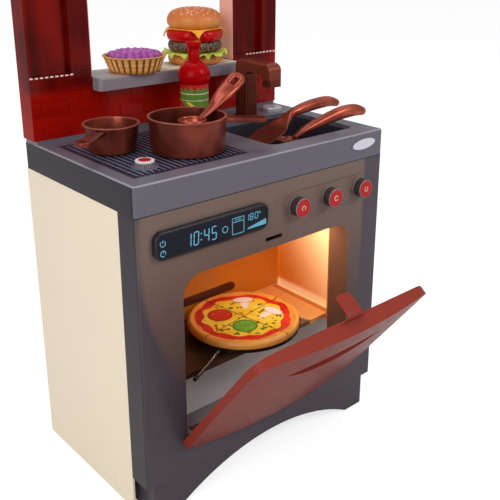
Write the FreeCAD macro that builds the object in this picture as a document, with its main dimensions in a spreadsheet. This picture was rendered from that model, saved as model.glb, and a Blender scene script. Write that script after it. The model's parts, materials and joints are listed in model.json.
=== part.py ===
"""Toy pizzeria: a child's play kitchen with an oven, a hob, a sink and a brick serving window.

Millimetres.  +X is to the right, +Y goes from the front to the back, +Z is up.  The origin
is on the floor, at the centre of the cabinet's footprint.  The oven door is modelled in its
open position, resting on its stop.
"""
import FreeCAD, Part
import math
import os

import Sketcher

V = FreeCAD.Vector
doc = FreeCAD.newDocument("toy_pizzeria")

# Driving sizes, in millimetres and degrees
SIZES = {
    # Cabinet
    "cabinet_width": 480.0,
    "cabinet_depth": 300.0,
    "worktop_height": 514.0,
    "shell_wall": 3.0,
    "rib_depth": 6.0,
    "rib_pitch": 56.0,
    "side_foot": 46.0,
    "side_arch_rise": 16.0,
    "side_gap": 1.0,
    "running_gap": 0.3,
    "cut_overrun": 5.0,
    # Plinth
    "foot_height": 57.0,
    "plinth_inset": 15.0,
    "plinth_front_inset": 1.5,
    "arch_foot": 45.0,
    "arch_rise": 48.0,
    "plinth_corner": 8.0,
    # Front panel
    "front_return": 40.0,
    "opening_side": 72.5,
    "opening_drop": 145.0,
    "opening_bottom": 117.0,
    "opening_corner": 32.0,
    "low_corner": 4.0,
    "reveal_depth": 42.0,
    "latch_slot_width": 34.0,
    "latch_slot_height": 6.5,
    "latch_slot_rise": 12.0,
    # Oven
    "liner_side": 46.5,
    "liner_depth": 152.0,
    "liner_wall": 2.5,
    "shelf_level": 181.5,
    "shelf_thickness": 4.0,
    "ledge_width": 30.0,
    "heater_length": 160.0,
    "heater_height": 14.0,
    "heater_depth": 4.0,
    "heater_level": 213.0,
    "lamp_radius": 17.0,
    "lamp_depth": 9.0,
    # Oven door
    "door_side": 63.5,
    "door_latch_gap": 8.0,
    "door_edge": 12.0,
    "door_bow": 13.0,
    "door_wall": 2.5,
    "door_corner": 34.0,
    "door_low_corner": 8.0,
    "door_open_angle": 37.7,
    "hinge_height": 113.0,
    "hinge_back": 7.0,
    "hinge_radius": 3.0,
    "hinge_running": 0.06,
    "hinge_seat": 9.0,
    "notch_drop": 9.0,
    "stop_gap": 0.05,
    "door_overlap": 6.0,
    "knuckle_radius": 5.6,
    "knuckle_width": 20.0,
    "knuckle_side": 94.0,
    "hand_slot_side": 78.5,
    "hand_slot_height": 31.0,
    "hand_slot_drop": 57.0,
    "tongue_width": 30.0,
    "tongue_thickness": 4.0,
    "tongue_reach": 26.0,
    # Display and knobs
    "display_width_share": 0.41,
    "display_height": 40.0,
    "display_proud": 8.0,
    "display_corner": 13.0,
    "display_side": 25.0,
    "display_drop": 87.0,
    "display_rim": 3.5,
    "strip_length_share": 0.38,
    "strip_height": 42.0,
    "strip_proud": 2.5,
    "strip_centre_share": 0.234375,
    "knob_spacing_share": 0.146875,
    "knob_drop": 88.0,
    "knob_radius": 16.5,
    "knob_face_share": 0.84,
    "knob_proud": 16.0,
    "knob_shaft": 4.0,
    "shaft_running": 0.08,
    # Worktop
    "skirt_height": 42.0,
    "worktop_thickness": 7.0,
    "worktop_corner": 7.0,
    "worktop_round": 3.0,
    "back_step": 4.0,
    "deck_gap": 0.2,
    "frame_depth": 35.0,
    "hob_left": 22.0,
    "hob_front": 30.0,
    "hob_width_share": 0.405,
    "hob_back_deck": 27.0,
    "hob_recess": 1.5,
    "hob_plate_thickness": 2.5,
    "hob_rib_gap": 6.2,
    "hob_rib_width": 2.6,
    "hob_rib_height": 1.5,
    "hob_knob_side": 41.0,
    "hob_knob_front": 38.0,
    "hob_knob_radius": 14.5,
    "hob_knob_face_share": 0.6,
    "hob_knob_height": 9.0,
    "sink_right": 30.0,
    "sink_front": 37.0,
    "sink_width_share": 0.38,
    "sink_back_deck": 74.0,
    "sink_corner": 16.0,
    "sink_depth": 48.0,
    "sink_wall": 2.0,
    "sink_taper": 8.0,
    # Tap
    "tap_x_share": 0.75625,
    "tap_ahead": 54.0,
    "tap_width": 27.0,
    "tap_height": 100.0,
    "tap_arm": 18.0,
    "tap_reach": 76.0,
    "tap_drop": 38.0,
    "tap_waist": 24.0,
    "tap_collar_height": 3.0,
    "tap_collar_radius": 21.0,
    "tap_spindle": 8.0,
    "tap_bend": 12.0,
    "tap_edge": 4.0,
    "tap_dial_side": 49.0,
    "tap_dial_ahead": 46.0,
    "tap_dial_radius": 18.0,
    "tap_dial_height": 7.0,
    # Serving frame
    "window_width": 276.0,
    "niche_floor": 98.0,
    "niche_edge": 4.0,
    "niche_border": 34.0,
    "niche_depth": 10.0,
    "header_height": 106.0,
    "frame_height": 436.0,
    "frame_crown": 28.0,
    "frame_wall": 3.0,
    "shelf_rise": 90.0,
    "shelf_lip": 20.0,
    "shelf_overhang": 21.0,
    "brick_height": 17.0,
    "brick_length": 44.0,
    "mortar_width": 2.0,
    "mortar_depth": 0.8,
    # Pans
    "small_pan_side": 50.0,
    "small_pan_y": 166.0,
    "small_pan_rim": 41.0,
    "small_pan_base": 34.5,
    "small_pan_height": 41.0,
    "small_handle_angle": 217.0,
    "small_handle_length": 66.0,
    "large_pan_side": 134.0,
    "large_pan_y": 97.0,
    "large_pan_rim": 57.5,
    "large_pan_base": 54.0,
    "large_pan_height": 52.0,
    "large_handle_angle": 321.5,
    "large_handle_length": 58.0,
    "pan_wall": 2.2,
    "pan_handle_width": 22.0,
    "pan_handle_thickness": 6.0,
    # Utensils
    "grip_width": 15.0,
    "grip_thickness": 9.0,
    "grip_sag": 3.0,
    "heel_back": 24.0,
    "ladle_length": 124.0,
    "ladle_radius": 21.0,
    "ladle_depth": 20.0,
    "ladle_aside": 4.0,
    "ladle_ahead": 6.0,
    "ladle_above": -10.0,
    "ladle_angle": 14.5,
    "ladle_neck_low": -2.8,
    "ladle_end_low": 52.0,
    "ladle_sag": 3.0,
    "spatula_grip": 119.0,
    "spatula_sink_gap": 25.4,
    "spatula_width": 52.0,
    "spatula_drop": 28.0,
    "spatula_rise": 1.0,
    "spatula_side": 78.0,
    "spatula_y": 109.0,
    "spatula_z": 11.0,
    "spatula_angle": 3.0,
    "spoon_grip": 172.0,
    "spoon_width": 32.0,
    "spoon_rise": 13.0,
    "spoon_side": 132.0,
    "spoon_y": 58.0,
    "spoon_z": -2.0,
    "spoon_angle": -1.5,
    "utensil_wall": 2.4,
    # Pizza and its pan
    "pizza_aside": 21.0,
    "pizza_y": 97.0,
    "pizza_radius": 95.2,
    "pizza_thickness": 16.0,
    "crust_round": 6.0,
    "crust_step": 1.5,
    "pizza_pan_radius": 96.0,
    "pizza_pan_base": 90.0,
    "pizza_pan_height": 8.0,
    "pizza_pan_foot": 9.0,
    "pizza_foot_radius": 72.0,
    "pizza_pan_wall": 2.0,
    "pizza_angle": 9.0,
    "pizza_bar_radius": 4.0,
    "pizza_handle_angle": 207.0,
    "pizza_handle_gap": 24.0,
    # Bottle
    "bottle_x_share": 0.528,
    "bottle_ahead": 55.0,
    "bottle_radius": 22.8,
    "bottle_height": 137.5,
    "bottle_shoulder": 71.0,
    "bottle_neck": 107.0,
    "bottle_neck_radius": 9.2,
    "bottle_bulge": 9.0,
    "bottle_cap_radius": 12.2,
    "bottle_cap_height": 22.0,
    "label_thickness": 0.6,
    # Tart
    "tart_left": 58.8,
    "tart_back": 5.0,
    "tart_base": 32.0,
    "tart_rim": 48.0,
    "tart_height": 26.0,
    "tart_mound": 6.0,
    "tart_wall": 4.0,
    "tart_flute": 3.0,
    # Burger
    "burger_right": 72.0,
    "burger_back": 20.0,
    "bun_radius": 47.0,
    "bun_base_height": 16.5,
    "lettuce_radius": 57.0,
    "lettuce_thickness": 4.0,
    "patty_height": 17.0,
    "tomato_height": 18.0,
    "tomato_radius": 48.5,
    "cheese_size": 84.0,
    "cheese_thickness": 2.5,
    "cheese_angle": 15.6,
    "bun_top_height": 33.0,
    "bun_crown_share": 0.8,
    # Fasteners
    "screw_radius": 3.5,
    "screw_head": 2.2,
}

sheet = doc.addObject("Spreadsheet::Sheet", "Sizes")
for row, (name, number) in enumerate(SIZES.items(), start=1):
    sheet.set("A%d" % row, name)
    sheet.set("B%d" % row, "%g" % number)
    sheet.setAlias("B%d" % row, name)
doc.recompute()


class Size:
    """A length or an angle together with the sheet formula that gives it."""

    def __init__(self, number, formula):
        self.number = float(number)
        self.formula = formula

    def __float__(self):
        return self.number

    def __add__(self, other):
        return combine(self, "+", other)

    def __radd__(self, other):
        return combine(other, "+", self)

    def __sub__(self, other):
        return combine(self, "-", other)

    def __rsub__(self, other):
        return combine(other, "-", self)

    def __mul__(self, other):
        return combine(self, "*", other)

    def __rmul__(self, other):
        return combine(other, "*", self)

    def __truediv__(self, other):
        return combine(self, "/", other)

    def __neg__(self):
        return Size(-self.number, "(-1 * %s)" % self.formula)


def formula_of(value):
    return value.formula if isinstance(value, Size) else "%.10g" % value


def combine(left, sign, right):
    """The sum, difference, product or ratio of two sizes, with its formula."""
    a, b = float(left), float(right)
    number = {"+": a + b, "-": a - b, "*": a * b}[sign] if sign != "/" else a / b
    return Size(number, "(%s %s %s)" % (formula_of(left), sign, formula_of(right)))


class SizeTable:
    """Gives each cell of the sheet as a Size, by its alias."""

    def __getattr__(self, name):
        return Size(SIZES[name], "Sizes." + name)


S = SizeTable()


def bind(thing, prop, value):
    """Set a property and tie it to the sheet when the value comes from there."""
    if isinstance(value, Size):
        thing.setExpression(prop, value.formula)
    elif "." not in prop:
        setattr(thing, prop, value)


# Sub-parts: every entry becomes one STEP file
parts = []


def keep(thing, label):
    thing.Label = label
    parts.append(thing)
    return thing


def place(thing, x=0.0, y=0.0, z=0.0, axis=None, turn=0.0):
    """Put a sub-part at x, y, z, turned about an axis."""
    base = V(float(x), float(y), float(z))
    spin = FreeCAD.Rotation(axis or V(0, 0, 1), float(turn))
    thing.Placement = FreeCAD.Placement(base, spin)
    for letter, value in (("x", x), ("y", y), ("z", z)):
        bind(thing, "Placement.Base." + letter, value)
    if isinstance(turn, Size):
        bind(thing, "Placement.Rotation.Angle", turn)
    return thing


# Sketch helpers

def new_body(label):
    body = doc.addObject("PartDesign::Body", label)
    return keep(body, label)


def new_sketch(body, role, offset=0.0):
    """A sketch on one of the body's own planes, moved along the plane's normal."""
    plane = [f for f in body.Origin.OriginFeatures if f.Role == role][0]
    sketch = body.newObject("Sketcher::SketchObject", body.Label + "_sketch")
    sketch.AttachmentSupport = [(plane, "")]
    sketch.MapMode = "FlatFace"
    bind(sketch, "AttachmentOffset.Base.z", offset)
    return sketch


def pin_point(sketch, geometry, end, u, v):
    """Dimension one point of a sketch from the origin."""
    for kind, value in (("DistanceX", u), ("DistanceY", v)):
        index = sketch.addConstraint(
            Sketcher.Constraint(kind, -1, 1, geometry, end, float(value)))
        if isinstance(value, Size):
            sketch.setExpression("Constraints[%d]" % index, value.formula)


def draw_circle(sketch, u, v, radius):
    centre = V(float(u), float(v), 0)
    index = sketch.addGeometry(Part.Circle(centre, V(0, 0, 1), float(radius)))
    pin_point(sketch, index, 3, u, v)
    ring = sketch.addConstraint(Sketcher.Constraint("Radius", index, float(radius)))
    if isinstance(radius, Size):
        sketch.setExpression("Constraints[%d]" % ring, radius.formula)


def draw_outline(sketch, points):
    """A closed outline.  A point is (u, v), or (u, v, bulge) when the side that leaves it is
    an arc whose middle stands that far to the right of the chord."""
    count = len(points)
    sides = []
    for i, point in enumerate(points):
        after = points[(i + 1) % count]
        start = V(float(point[0]), float(point[1]), 0)
        end = V(float(after[0]), float(after[1]), 0)
        if len(point) == 3:
            chord = end - start
            side = V(chord.y, -chord.x, 0) / chord.Length
            middle = (start + end) / 2 + side * float(point[2])
            ends = (start, end) if float(point[2]) > 0 else (end, start)
            sides.append(sketch.addGeometry(Part.Arc(ends[0], middle, ends[1])))
        else:
            sides.append(sketch.addGeometry(Part.LineSegment(start, end)))
    for i, point in enumerate(points):
        arc = len(point) == 3
        first = 2 if arc and float(point[2]) < 0 else 1
        pin_point(sketch, sides[i], first, point[0], point[1])
        after = points[(i + 1) % count]
        pin_point(sketch, sides[i], 3 - first, after[0], after[1])
        if arc:
            radius = arc_radius(point, after)
            index = sketch.addConstraint(
                Sketcher.Constraint("Radius", sides[i], float(radius)))
            sketch.setExpression("Constraints[%d]" % index, radius.formula)


def arc_radius(start, end):
    """Radius of an arc from its chord and the height of its middle."""
    du = end[0] - start[0]
    dv = end[1] - start[1]
    rise = start[2]
    return as_size((du * du + dv * dv) / (8 * sized_abs(rise)) + sized_abs(rise) / 2)


def as_size(value):
    return value if isinstance(value, Size) else Size(value, "%.10g" % value)


def sized_abs(value):
    return -value if float(value) < 0 else value


def dome_bulge(run, rise):
    """Bulge of the arc that turns about the axis into a spherical cap."""
    run, rise = as_size(run), as_size(rise)
    square = run * run + rise * rise
    ball = square / (2 * rise)
    depth = math.sqrt(float(ball) ** 2 - float(square) / 4)
    return Size(float(ball) - depth, "(%s - sqrt(%s ^ 2 - %s / 4))" % (
        ball.formula, ball.formula, square.formula))


def rectangle(sketch, left, low, right, high):
    draw_outline(sketch, [(left, low), (right, low), (right, high), (left, high)])


def pad(body, sketch, length, reverse=False, both=False):
    feature = body.newObject("PartDesign::Pad", body.Label + "_pad")
    feature.Profile = sketch
    feature.Reversed = reverse
    if both:
        feature.SideType = "Symmetric"
    feature.Length = float(length)
    bind(feature, "Length", length)
    return feature


def pocket(body, sketch, length, reverse=False, both=False):
    feature = body.newObject("PartDesign::Pocket", body.Label + "_pocket")
    feature.Profile = sketch
    feature.Reversed = reverse
    if both:
        feature.SideType = "Symmetric"
    feature.Length = float(length)
    bind(feature, "Length", length)
    return feature


def revolve(body, sketch, angle=360.0):
    feature = body.newObject("PartDesign::Revolution", body.Label + "_revolution")
    feature.Profile = sketch
    feature.ReferenceAxis = (sketch, ["V_Axis"])
    feature.Angle = angle
    return feature


def groove(body, sketch):
    feature = body.newObject("PartDesign::Groove", body.Label + "_groove")
    feature.Profile = sketch
    feature.ReferenceAxis = (sketch, ["V_Axis"])
    feature.Angle = 360.0
    return feature


def repeat(body, originals, sketch, axis, pitch, copies):
    """A linear pattern along the sketch's H or V axis."""
    feature = body.newObject("PartDesign::LinearPattern", body.Label + "_pattern")
    feature.Originals = originals
    feature.Direction = (sketch, [axis])
    feature.Mode = "Spacing"
    feature.Occurrences = copies
    feature.Offset = float(pitch)
    bind(feature, "Offset", pitch)
    body.Tip = feature
    return feature


def edges_where(feature, test):
    """Names of the straight edges whose direction and middle pass a test."""
    doc.recompute()
    names = []
    for i, edge in enumerate(feature.Shape.Edges, start=1):
        if len(edge.Vertexes) != 2:
            continue
        ends = [v.Point for v in edge.Vertexes]
        if test((ends[1] - ends[0]).normalize(), (ends[0] + ends[1]) / 2):
            names.append("Edge%d" % i)
    return names


def round_edges(body, feature, test, radius):
    names = edges_where(feature, test)
    rounded = body.newObject("PartDesign::Fillet", body.Label + "_fillet")
    rounded.Base = (feature, names)
    rounded.Radius = float(radius)
    bind(rounded, "Radius", radius)
    return rounded


def along(axis):
    """A test for edges that run along one axis."""
    return lambda way, middle: abs(way.dot(axis)) > 0.999


X_WAY, Y_WAY, Z_WAY = V(1, 0, 0), V(0, 1, 0), V(0, 0, 1)

# Derived places, shared by several sub-parts
HALF = S.cabinet_width / 2
FRONT = -S.cabinet_depth / 2
BACK = S.cabinet_depth / 2
TOP = S.worktop_height
SKIRT_LOW = TOP - S.skirt_height
WIDE = HALF - S.side_gap
PANEL_FRONT = FRONT + S.side_gap
RETURN_BACK = PANEL_FRONT + S.front_return
REVEAL_BACK = PANEL_FRONT + S.reveal_depth
OPENING_HALF = HALF - S.opening_side
OPENING_TOP = TOP - S.opening_drop
LATCH_LOW = OPENING_TOP + S.latch_slot_rise
KNUCKLE_X = HALF - S.knuckle_side
HINGE_Y = PANEL_FRONT + S.hinge_back
FRAME_FRONT = BACK - S.frame_depth
DECK = TOP + S.back_step
CORNER_BULGE_SHARE = 1 - math.cos(math.radians(45))
FULL_TURN = 360.0


def across(share):
    """Place at a share of the cabinet's width, from its left side."""
    return S.cabinet_width * share - HALF


def rounded(left, low, right, high, r_low, r_high):
    """Corner points of a rectangle with round lower and upper corners, anticlockwise."""
    a, b = r_low, r_high
    fall, rise = a * CORNER_BULGE_SHARE, b * CORNER_BULGE_SHARE
    return [
        (left + a, low), (right - a, low, fall), (right, low + a),
        (right, high - b, rise), (right - b, high), (left + b, high, rise),
        (left, high - b), (left, low + a, fall),
    ]


def pill(centre_u, centre_v, half_u, half_v):
    """A slot with half-round ends, anticlockwise."""
    run = half_u - half_v
    bulge = half_v * CORNER_BULGE_SHARE
    return [
        (centre_u - run, centre_v - half_v), (centre_u + run, centre_v - half_v, bulge),
        (centre_u + half_u, centre_v, bulge), (centre_u + run, centre_v + half_v),
        (centre_u - run, centre_v + half_v, bulge), (centre_u - half_u, centre_v, bulge),
    ]


def block(body, left, right, front, back, low, high):
    """Add a rectangular block to a body."""
    sketch = new_sketch(body, "XY_Plane", low)
    rectangle(sketch, left, front, right, back)
    return pad(body, sketch, high - low)


def cut_block(body, left, right, front, back, low, high):
    """Take a rectangular block out of a body."""
    sketch = new_sketch(body, "XY_Plane", low)
    rectangle(sketch, left, front, right, back)
    return pocket(body, sketch, high - low, reverse=True)


# Cabinet

def make_front_panel():
    """Smoky shell: skin, side returns, the reveal round the oven mouth, and hinge seats."""
    body = new_body("front_panel")
    wall = S.shell_wall
    inner = WIDE - wall
    plan = new_sketch(body, "XY_Plane", S.foot_height)
    draw_outline(plan, [
        (-WIDE, PANEL_FRONT), (WIDE, PANEL_FRONT), (WIDE, RETURN_BACK), (inner, RETURN_BACK),
        (inner, PANEL_FRONT + wall), (-inner, PANEL_FRONT + wall),
        (-inner, RETURN_BACK), (-WIDE, RETURN_BACK),
    ])
    skin = pad(body, plan, SKIRT_LOW - S.foot_height)
    round_edges(body, skin, outer_front_corner, S.worktop_round)

    ring = new_sketch(body, "XZ_Plane", -PANEL_FRONT)
    draw_outline(ring, rounded(
        -OPENING_HALF - wall, S.opening_bottom - wall, OPENING_HALF + wall, OPENING_TOP + wall,
        S.low_corner + wall, S.opening_corner + wall))
    pad(body, ring, S.reveal_depth, reverse=True)

    reach = S.knuckle_width / 2 + S.running_gap + S.hinge_seat
    for side in (-1, 1):
        seat = new_sketch(body, "YZ_Plane", KNUCKLE_X * side)
        rectangle(seat, PANEL_FRONT + wall / 2, S.hinge_height - S.hinge_seat,
                  HINGE_Y + S.knuckle_radius, S.opening_bottom - wall / 2)
        pad(body, seat, reach * 2, both=True)

    mouth = new_sketch(body, "XZ_Plane", -PANEL_FRONT)
    draw_outline(mouth, rounded(
        -OPENING_HALF, S.opening_bottom, OPENING_HALF, OPENING_TOP,
        S.low_corner, S.opening_corner))
    pocket(body, mouth, (S.reveal_depth + S.cut_overrun) * 2, both=True)

    for side in (-1, 1):
        notch = new_sketch(body, "YZ_Plane", KNUCKLE_X * side)
        rectangle(notch, PANEL_FRONT - S.cut_overrun, S.hinge_height - S.notch_drop,
                  HINGE_Y + S.knuckle_radius + S.notch_drop / 3,
                  S.opening_bottom + S.cut_overrun)
        pocket(body, notch, S.knuckle_width + S.running_gap * 2, both=True)
        bore = new_sketch(body, "YZ_Plane", KNUCKLE_X * side)
        draw_circle(bore, HINGE_Y, S.hinge_height, S.hinge_radius + S.hinge_running)
        pocket(body, bore, reach * 2 - S.running_gap * 4, both=True)

    slots = new_sketch(body, "XZ_Plane", -PANEL_FRONT)
    rectangle(slots, -S.latch_slot_width / 2, LATCH_LOW,
              S.latch_slot_width / 2, LATCH_LOW + S.latch_slot_height)
    for step in (-1, 0, 1):
        draw_circle(slots, STRIP_X + KNOB_SPACING * step, KNOB_Z,
                    S.knob_shaft + S.shaft_running)
    pocket(body, slots, wall * 4, both=True)


def outer_front_corner(way, middle):
    return (abs(way.z) > 0.999 and abs(middle.y - float(PANEL_FRONT)) < 0.01
            and abs(abs(middle.x) - float(WIDE)) < 0.01)


def make_side_panel(label, side):
    """Cream side: a flat skin with a shallow arch between its feet and stiffening ribs."""
    body = new_body(label)
    outer = WIDE * side
    face = new_sketch(body, "YZ_Plane", outer if side < 0 else outer - S.shell_wall)
    draw_outline(face, [
        (RETURN_BACK, 0), (RETURN_BACK + S.side_foot, 0, -S.side_arch_rise),
        (BACK - S.side_foot, 0), (BACK, 0), (BACK, SKIRT_LOW), (RETURN_BACK, SKIRT_LOW),
    ])
    pad(body, face, S.shell_wall)
    inner = outer - S.shell_wall * side
    left, right = sorted((inner, inner - S.rib_depth * side), key=float)
    rib = block(body, left, right, RETURN_BACK + S.rib_pitch / 2,
                RETURN_BACK + S.rib_pitch / 2 + S.shell_wall,
                S.foot_height, SKIRT_LOW - S.skirt_height)
    repeat(body, [rib], rib.Profile[0], "V_Axis", S.rib_pitch, 4)


def make_back_panel():
    """Closes the cabinet behind; a row of vent slots and a rim that the screws hold."""
    body = new_body("back_panel")
    half = WIDE - S.shell_wall
    face = new_sketch(body, "XZ_Plane", -(BACK - S.shell_wall))
    rectangle(face, -half, S.foot_height, half, SKIRT_LOW)
    pad(body, face, S.shell_wall, reverse=True)
    vents = new_sketch(body, "XZ_Plane", -BACK)
    draw_outline(vents, pill(Size(0, "0"), SKIRT_LOW - S.skirt_height * 2,
                             S.skirt_height, S.shell_wall))
    slot = pocket(body, vents, S.shell_wall * 4, both=True)
    repeat(body, [slot], vents, "V_Axis", S.shell_wall * 5, 4)


def make_base_plinth():
    """Recessed base, hollow below, with a wide arch through its front wall."""
    body = new_body("base_plinth")
    half = HALF - S.plinth_inset
    arch = half - S.arch_foot
    front = PANEL_FRONT + S.plinth_front_inset
    back = BACK - S.plinth_front_inset
    bulk = block(body, -half, half, front, back, 0, S.foot_height)
    round_edges(body, bulk, along(Z_WAY), S.plinth_corner)
    wall = S.shell_wall
    cut_block(body, -half + wall * 2, half - wall * 2, front + wall, back - wall,
              -S.cut_overrun, S.foot_height - wall)
    gate = new_sketch(body, "XZ_Plane", -(front + wall * 2))
    draw_outline(gate, [
        (-arch, -S.cut_overrun), (arch, -S.cut_overrun), (arch, 0, S.arch_rise), (-arch, 0),
    ])
    pocket(body, gate, wall * 2 + S.cut_overrun, reverse=True)


# Worktop with the hob and the sink

SINK_RIGHT = HALF - S.sink_right
SINK_LEFT = SINK_RIGHT - S.cabinet_width * S.sink_width_share
SINK_FRONT = FRONT + S.sink_front
SINK_BACK = FRAME_FRONT - S.sink_back_deck
HOB_LEFT = -HALF + S.hob_left
HOB_RIGHT = HOB_LEFT + S.cabinet_width * S.hob_width_share
HOB_FRONT = FRONT + S.hob_front
HOB_BACK = FRAME_FRONT - S.hob_back_deck
HOB_PLATE = S.hob_plate_thickness
HOB_FLOOR = TOP - S.hob_recess - HOB_PLATE
HOB_KNOB_X = HOB_LEFT + S.hob_knob_side
HOB_KNOB_Y = HOB_FRONT + S.hob_knob_front
TAP_X = across(S.tap_x_share)
TAP_Y = FRAME_FRONT - S.tap_ahead
DIAL_X = HALF - S.tap_dial_side
DIAL_Y = FRAME_FRONT - S.tap_dial_ahead


def make_worktop():
    """Slate worktop with a deep skirt, a sunk hob, the sink mouth and a raised back deck."""
    body = new_body("worktop")
    wall = S.shell_wall
    bulk = block(body, -HALF, HALF, FRONT, BACK, SKIRT_LOW, TOP)
    upright = round_edges(body, bulk, along(Z_WAY), S.worktop_corner)
    round_edges(body, upright, top_front_rim, S.worktop_round)
    block(body, -HALF + wall, HALF - wall, FRAME_FRONT, BACK - S.side_gap, TOP - wall, DECK)
    cut_block(body, -HALF + wall, HALF - wall, FRONT + wall, BACK - wall,
              SKIRT_LOW - S.cut_overrun, TOP - S.worktop_thickness)
    cut_block(body, HOB_LEFT, HOB_RIGHT, HOB_FRONT, HOB_BACK,
              HOB_FLOOR, TOP + S.cut_overrun)
    holes = new_sketch(body, "XY_Plane", TOP)
    draw_outline(holes, rounded(SINK_LEFT, SINK_FRONT, SINK_RIGHT, SINK_BACK,
                                S.sink_corner, S.sink_corner))
    draw_circle(holes, TAP_X, TAP_Y, S.tap_spindle + S.shaft_running)
    draw_circle(holes, DIAL_X, DIAL_Y, S.knob_shaft + S.shaft_running)
    draw_circle(holes, HOB_KNOB_X, HOB_KNOB_Y, S.knob_shaft + S.shaft_running)
    pocket(body, holes, (S.worktop_thickness + S.cut_overrun) * 2, both=True)


def top_front_rim(way, middle):
    return abs(middle.z - float(TOP)) < 0.01


def make_hob_plate():
    """Grooved cooking plate lying in the worktop's recess, with a ring round the knob."""
    body = new_body("hob_plate")
    gap = S.side_gap / 5
    left, right = HOB_LEFT + gap, HOB_RIGHT - gap
    front, back = HOB_FRONT + gap, HOB_BACK - gap
    block(body, left, right, front, back, HOB_FLOOR, HOB_FLOOR + HOB_PLATE)
    top = HOB_FLOOR + HOB_PLATE
    margin = S.hob_rib_gap + S.hob_rib_width
    rib = block(body, left + margin, left + margin + S.hob_rib_width,
                front + margin, back - margin, top, top + S.hob_rib_height)
    count = fit_count(right - left - margin * 2, margin) + 1
    repeat(body, [rib], rib.Profile[0], "H_Axis", margin, count)
    ring = new_sketch(body, "XY_Plane", top)
    draw_circle(ring, HOB_KNOB_X, HOB_KNOB_Y, S.hob_knob_radius * 1.3)
    pad(body, ring, S.hob_rib_height)
    hole = new_sketch(body, "XY_Plane", top)
    draw_circle(hole, HOB_KNOB_X, HOB_KNOB_Y, S.knob_shaft + S.shaft_running)
    pocket(body, hole, HOB_PLATE * 4, both=True)


def make_sink_basin():
    """Dark tapering bowl hung under the worktop by a flange."""
    body = new_body("sink_basin")
    rim = TOP - S.worktop_thickness
    out = S.sink_wall
    flange = new_sketch(body, "XY_Plane", rim - out)
    draw_outline(flange, rounded(
        SINK_LEFT - out * 3, SINK_FRONT - out * 3, SINK_RIGHT + out * 3, SINK_BACK + out * 3,
        S.sink_corner, S.sink_corner))
    pad(body, flange, out)
    bowl = new_sketch(body, "XY_Plane", rim - out / 2)
    draw_outline(bowl, rounded(
        SINK_LEFT - out, SINK_FRONT - out, SINK_RIGHT + out, SINK_BACK + out,
        S.sink_corner + out, S.sink_corner + out))
    outer = pad(body, bowl, S.sink_depth - out / 2, reverse=True)
    bind(outer, "TaperAngle", -S.sink_taper)
    mouth = new_sketch(body, "XY_Plane", rim)
    draw_outline(mouth, rounded(SINK_LEFT, SINK_FRONT, SINK_RIGHT, SINK_BACK,
                                S.sink_corner, S.sink_corner))
    hollow = pocket(body, mouth, S.sink_depth - out)
    bind(hollow, "TaperAngle", -S.sink_taper)
    drain = new_sketch(body, "XY_Plane", rim - S.sink_depth)
    draw_circle(drain, (SINK_LEFT + SINK_RIGHT) / 2, (SINK_FRONT + SINK_BACK) / 2,
                S.tap_waist / 3)
    pocket(body, drain, out * 4, both=True)


# Control strip

DISPLAY_HALF = S.cabinet_width * S.display_width_share / 2
DISPLAY_X = -HALF + S.display_side + DISPLAY_HALF
DISPLAY_Z = TOP - S.display_drop
STRIP_X = S.cabinet_width * S.strip_centre_share
STRIP_HALF = S.cabinet_width * S.strip_length_share / 2
KNOB_SPACING = S.cabinet_width * S.knob_spacing_share
KNOB_Z = TOP - S.knob_drop


def make_display():
    """Proud bezel with a sunk dark window."""
    body = new_body("display_bezel")
    rise = S.display_height / 2
    face = new_sketch(body, "XZ_Plane", -PANEL_FRONT)
    draw_outline(face, rounded(
        DISPLAY_X - DISPLAY_HALF, DISPLAY_Z - rise, DISPLAY_X + DISPLAY_HALF, DISPLAY_Z + rise,
        S.display_corner, S.display_corner))
    bulk = pad(body, face, S.display_proud)
    front = float(PANEL_FRONT - S.display_proud)
    round_edges(body, bulk, lambda way, middle: abs(middle.y - front) < 0.01,
                S.display_rim / 2)
    window = new_sketch(body, "XZ_Plane", -PANEL_FRONT + S.display_proud)
    outline = display_outline()
    draw_outline(window, outline)
    pocket(body, window, S.display_rim * 2, both=True)

    pane = new_body("display_window")
    face = new_sketch(pane, "XZ_Plane", -PANEL_FRONT + S.display_proud - S.display_rim)
    draw_outline(face, outline)
    pad(pane, face, S.display_rim * 0.7)


def display_outline():
    half = DISPLAY_HALF - S.display_rim
    rise = S.display_height / 2 - S.display_rim
    corner = S.display_corner - S.display_rim
    return rounded(DISPLAY_X - half, DISPLAY_Z - rise, DISPLAY_X + half, DISPLAY_Z + rise,
                   corner, corner)


def make_knob_strip():
    """Low pill-shaped band that the three knobs stand on."""
    body = new_body("knob_strip")
    face = new_sketch(body, "XZ_Plane", -PANEL_FRONT)
    draw_outline(face, pill(STRIP_X, KNOB_Z, STRIP_HALF, S.strip_height / 2))
    for step in (-1, 0, 1):
        draw_circle(face, STRIP_X + KNOB_SPACING * step, KNOB_Z,
                    S.knob_shaft + S.shaft_running)
    pad(body, face, S.strip_proud)


def make_knob(label, face_label, x, y, z, upright, radius, share, height, shaft):
    """A stepped knob on a round shaft, with a coloured disc let into its face."""
    body = new_body(label)
    step = radius * 0.08
    reach = radius * share
    side = new_sketch(body, "XZ_Plane")
    draw_outline(side, [
        (0, -shaft), (S.knob_shaft, -shaft), (S.knob_shaft, 0), (radius, 0), (radius, step),
        (radius - step / 2, step), (radius - step / 2, step * 2), (radius - step, step * 2),
        (radius - step, height - step / 2, step / 5), (radius - step * 1.5, height),
        (reach, height), (reach, height - step / 2), (0, height - step / 2),
    ])
    revolve(body, side)
    disc = new_body(face_label)
    side = new_sketch(disc, "XZ_Plane")
    edge = reach - S.deck_gap / 4
    draw_outline(side, [
        (0, height - step / 2), (edge, height - step / 2), (edge, height + step / 4, step / 8),
        (edge - step / 2, height + step / 2), (0, height + step / 2),
    ])
    revolve(disc, side)
    for piece in (body, disc):
        place(piece, x, y, z, None if upright else X_WAY, 0.0 if upright else 90.0)


# Oven

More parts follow.
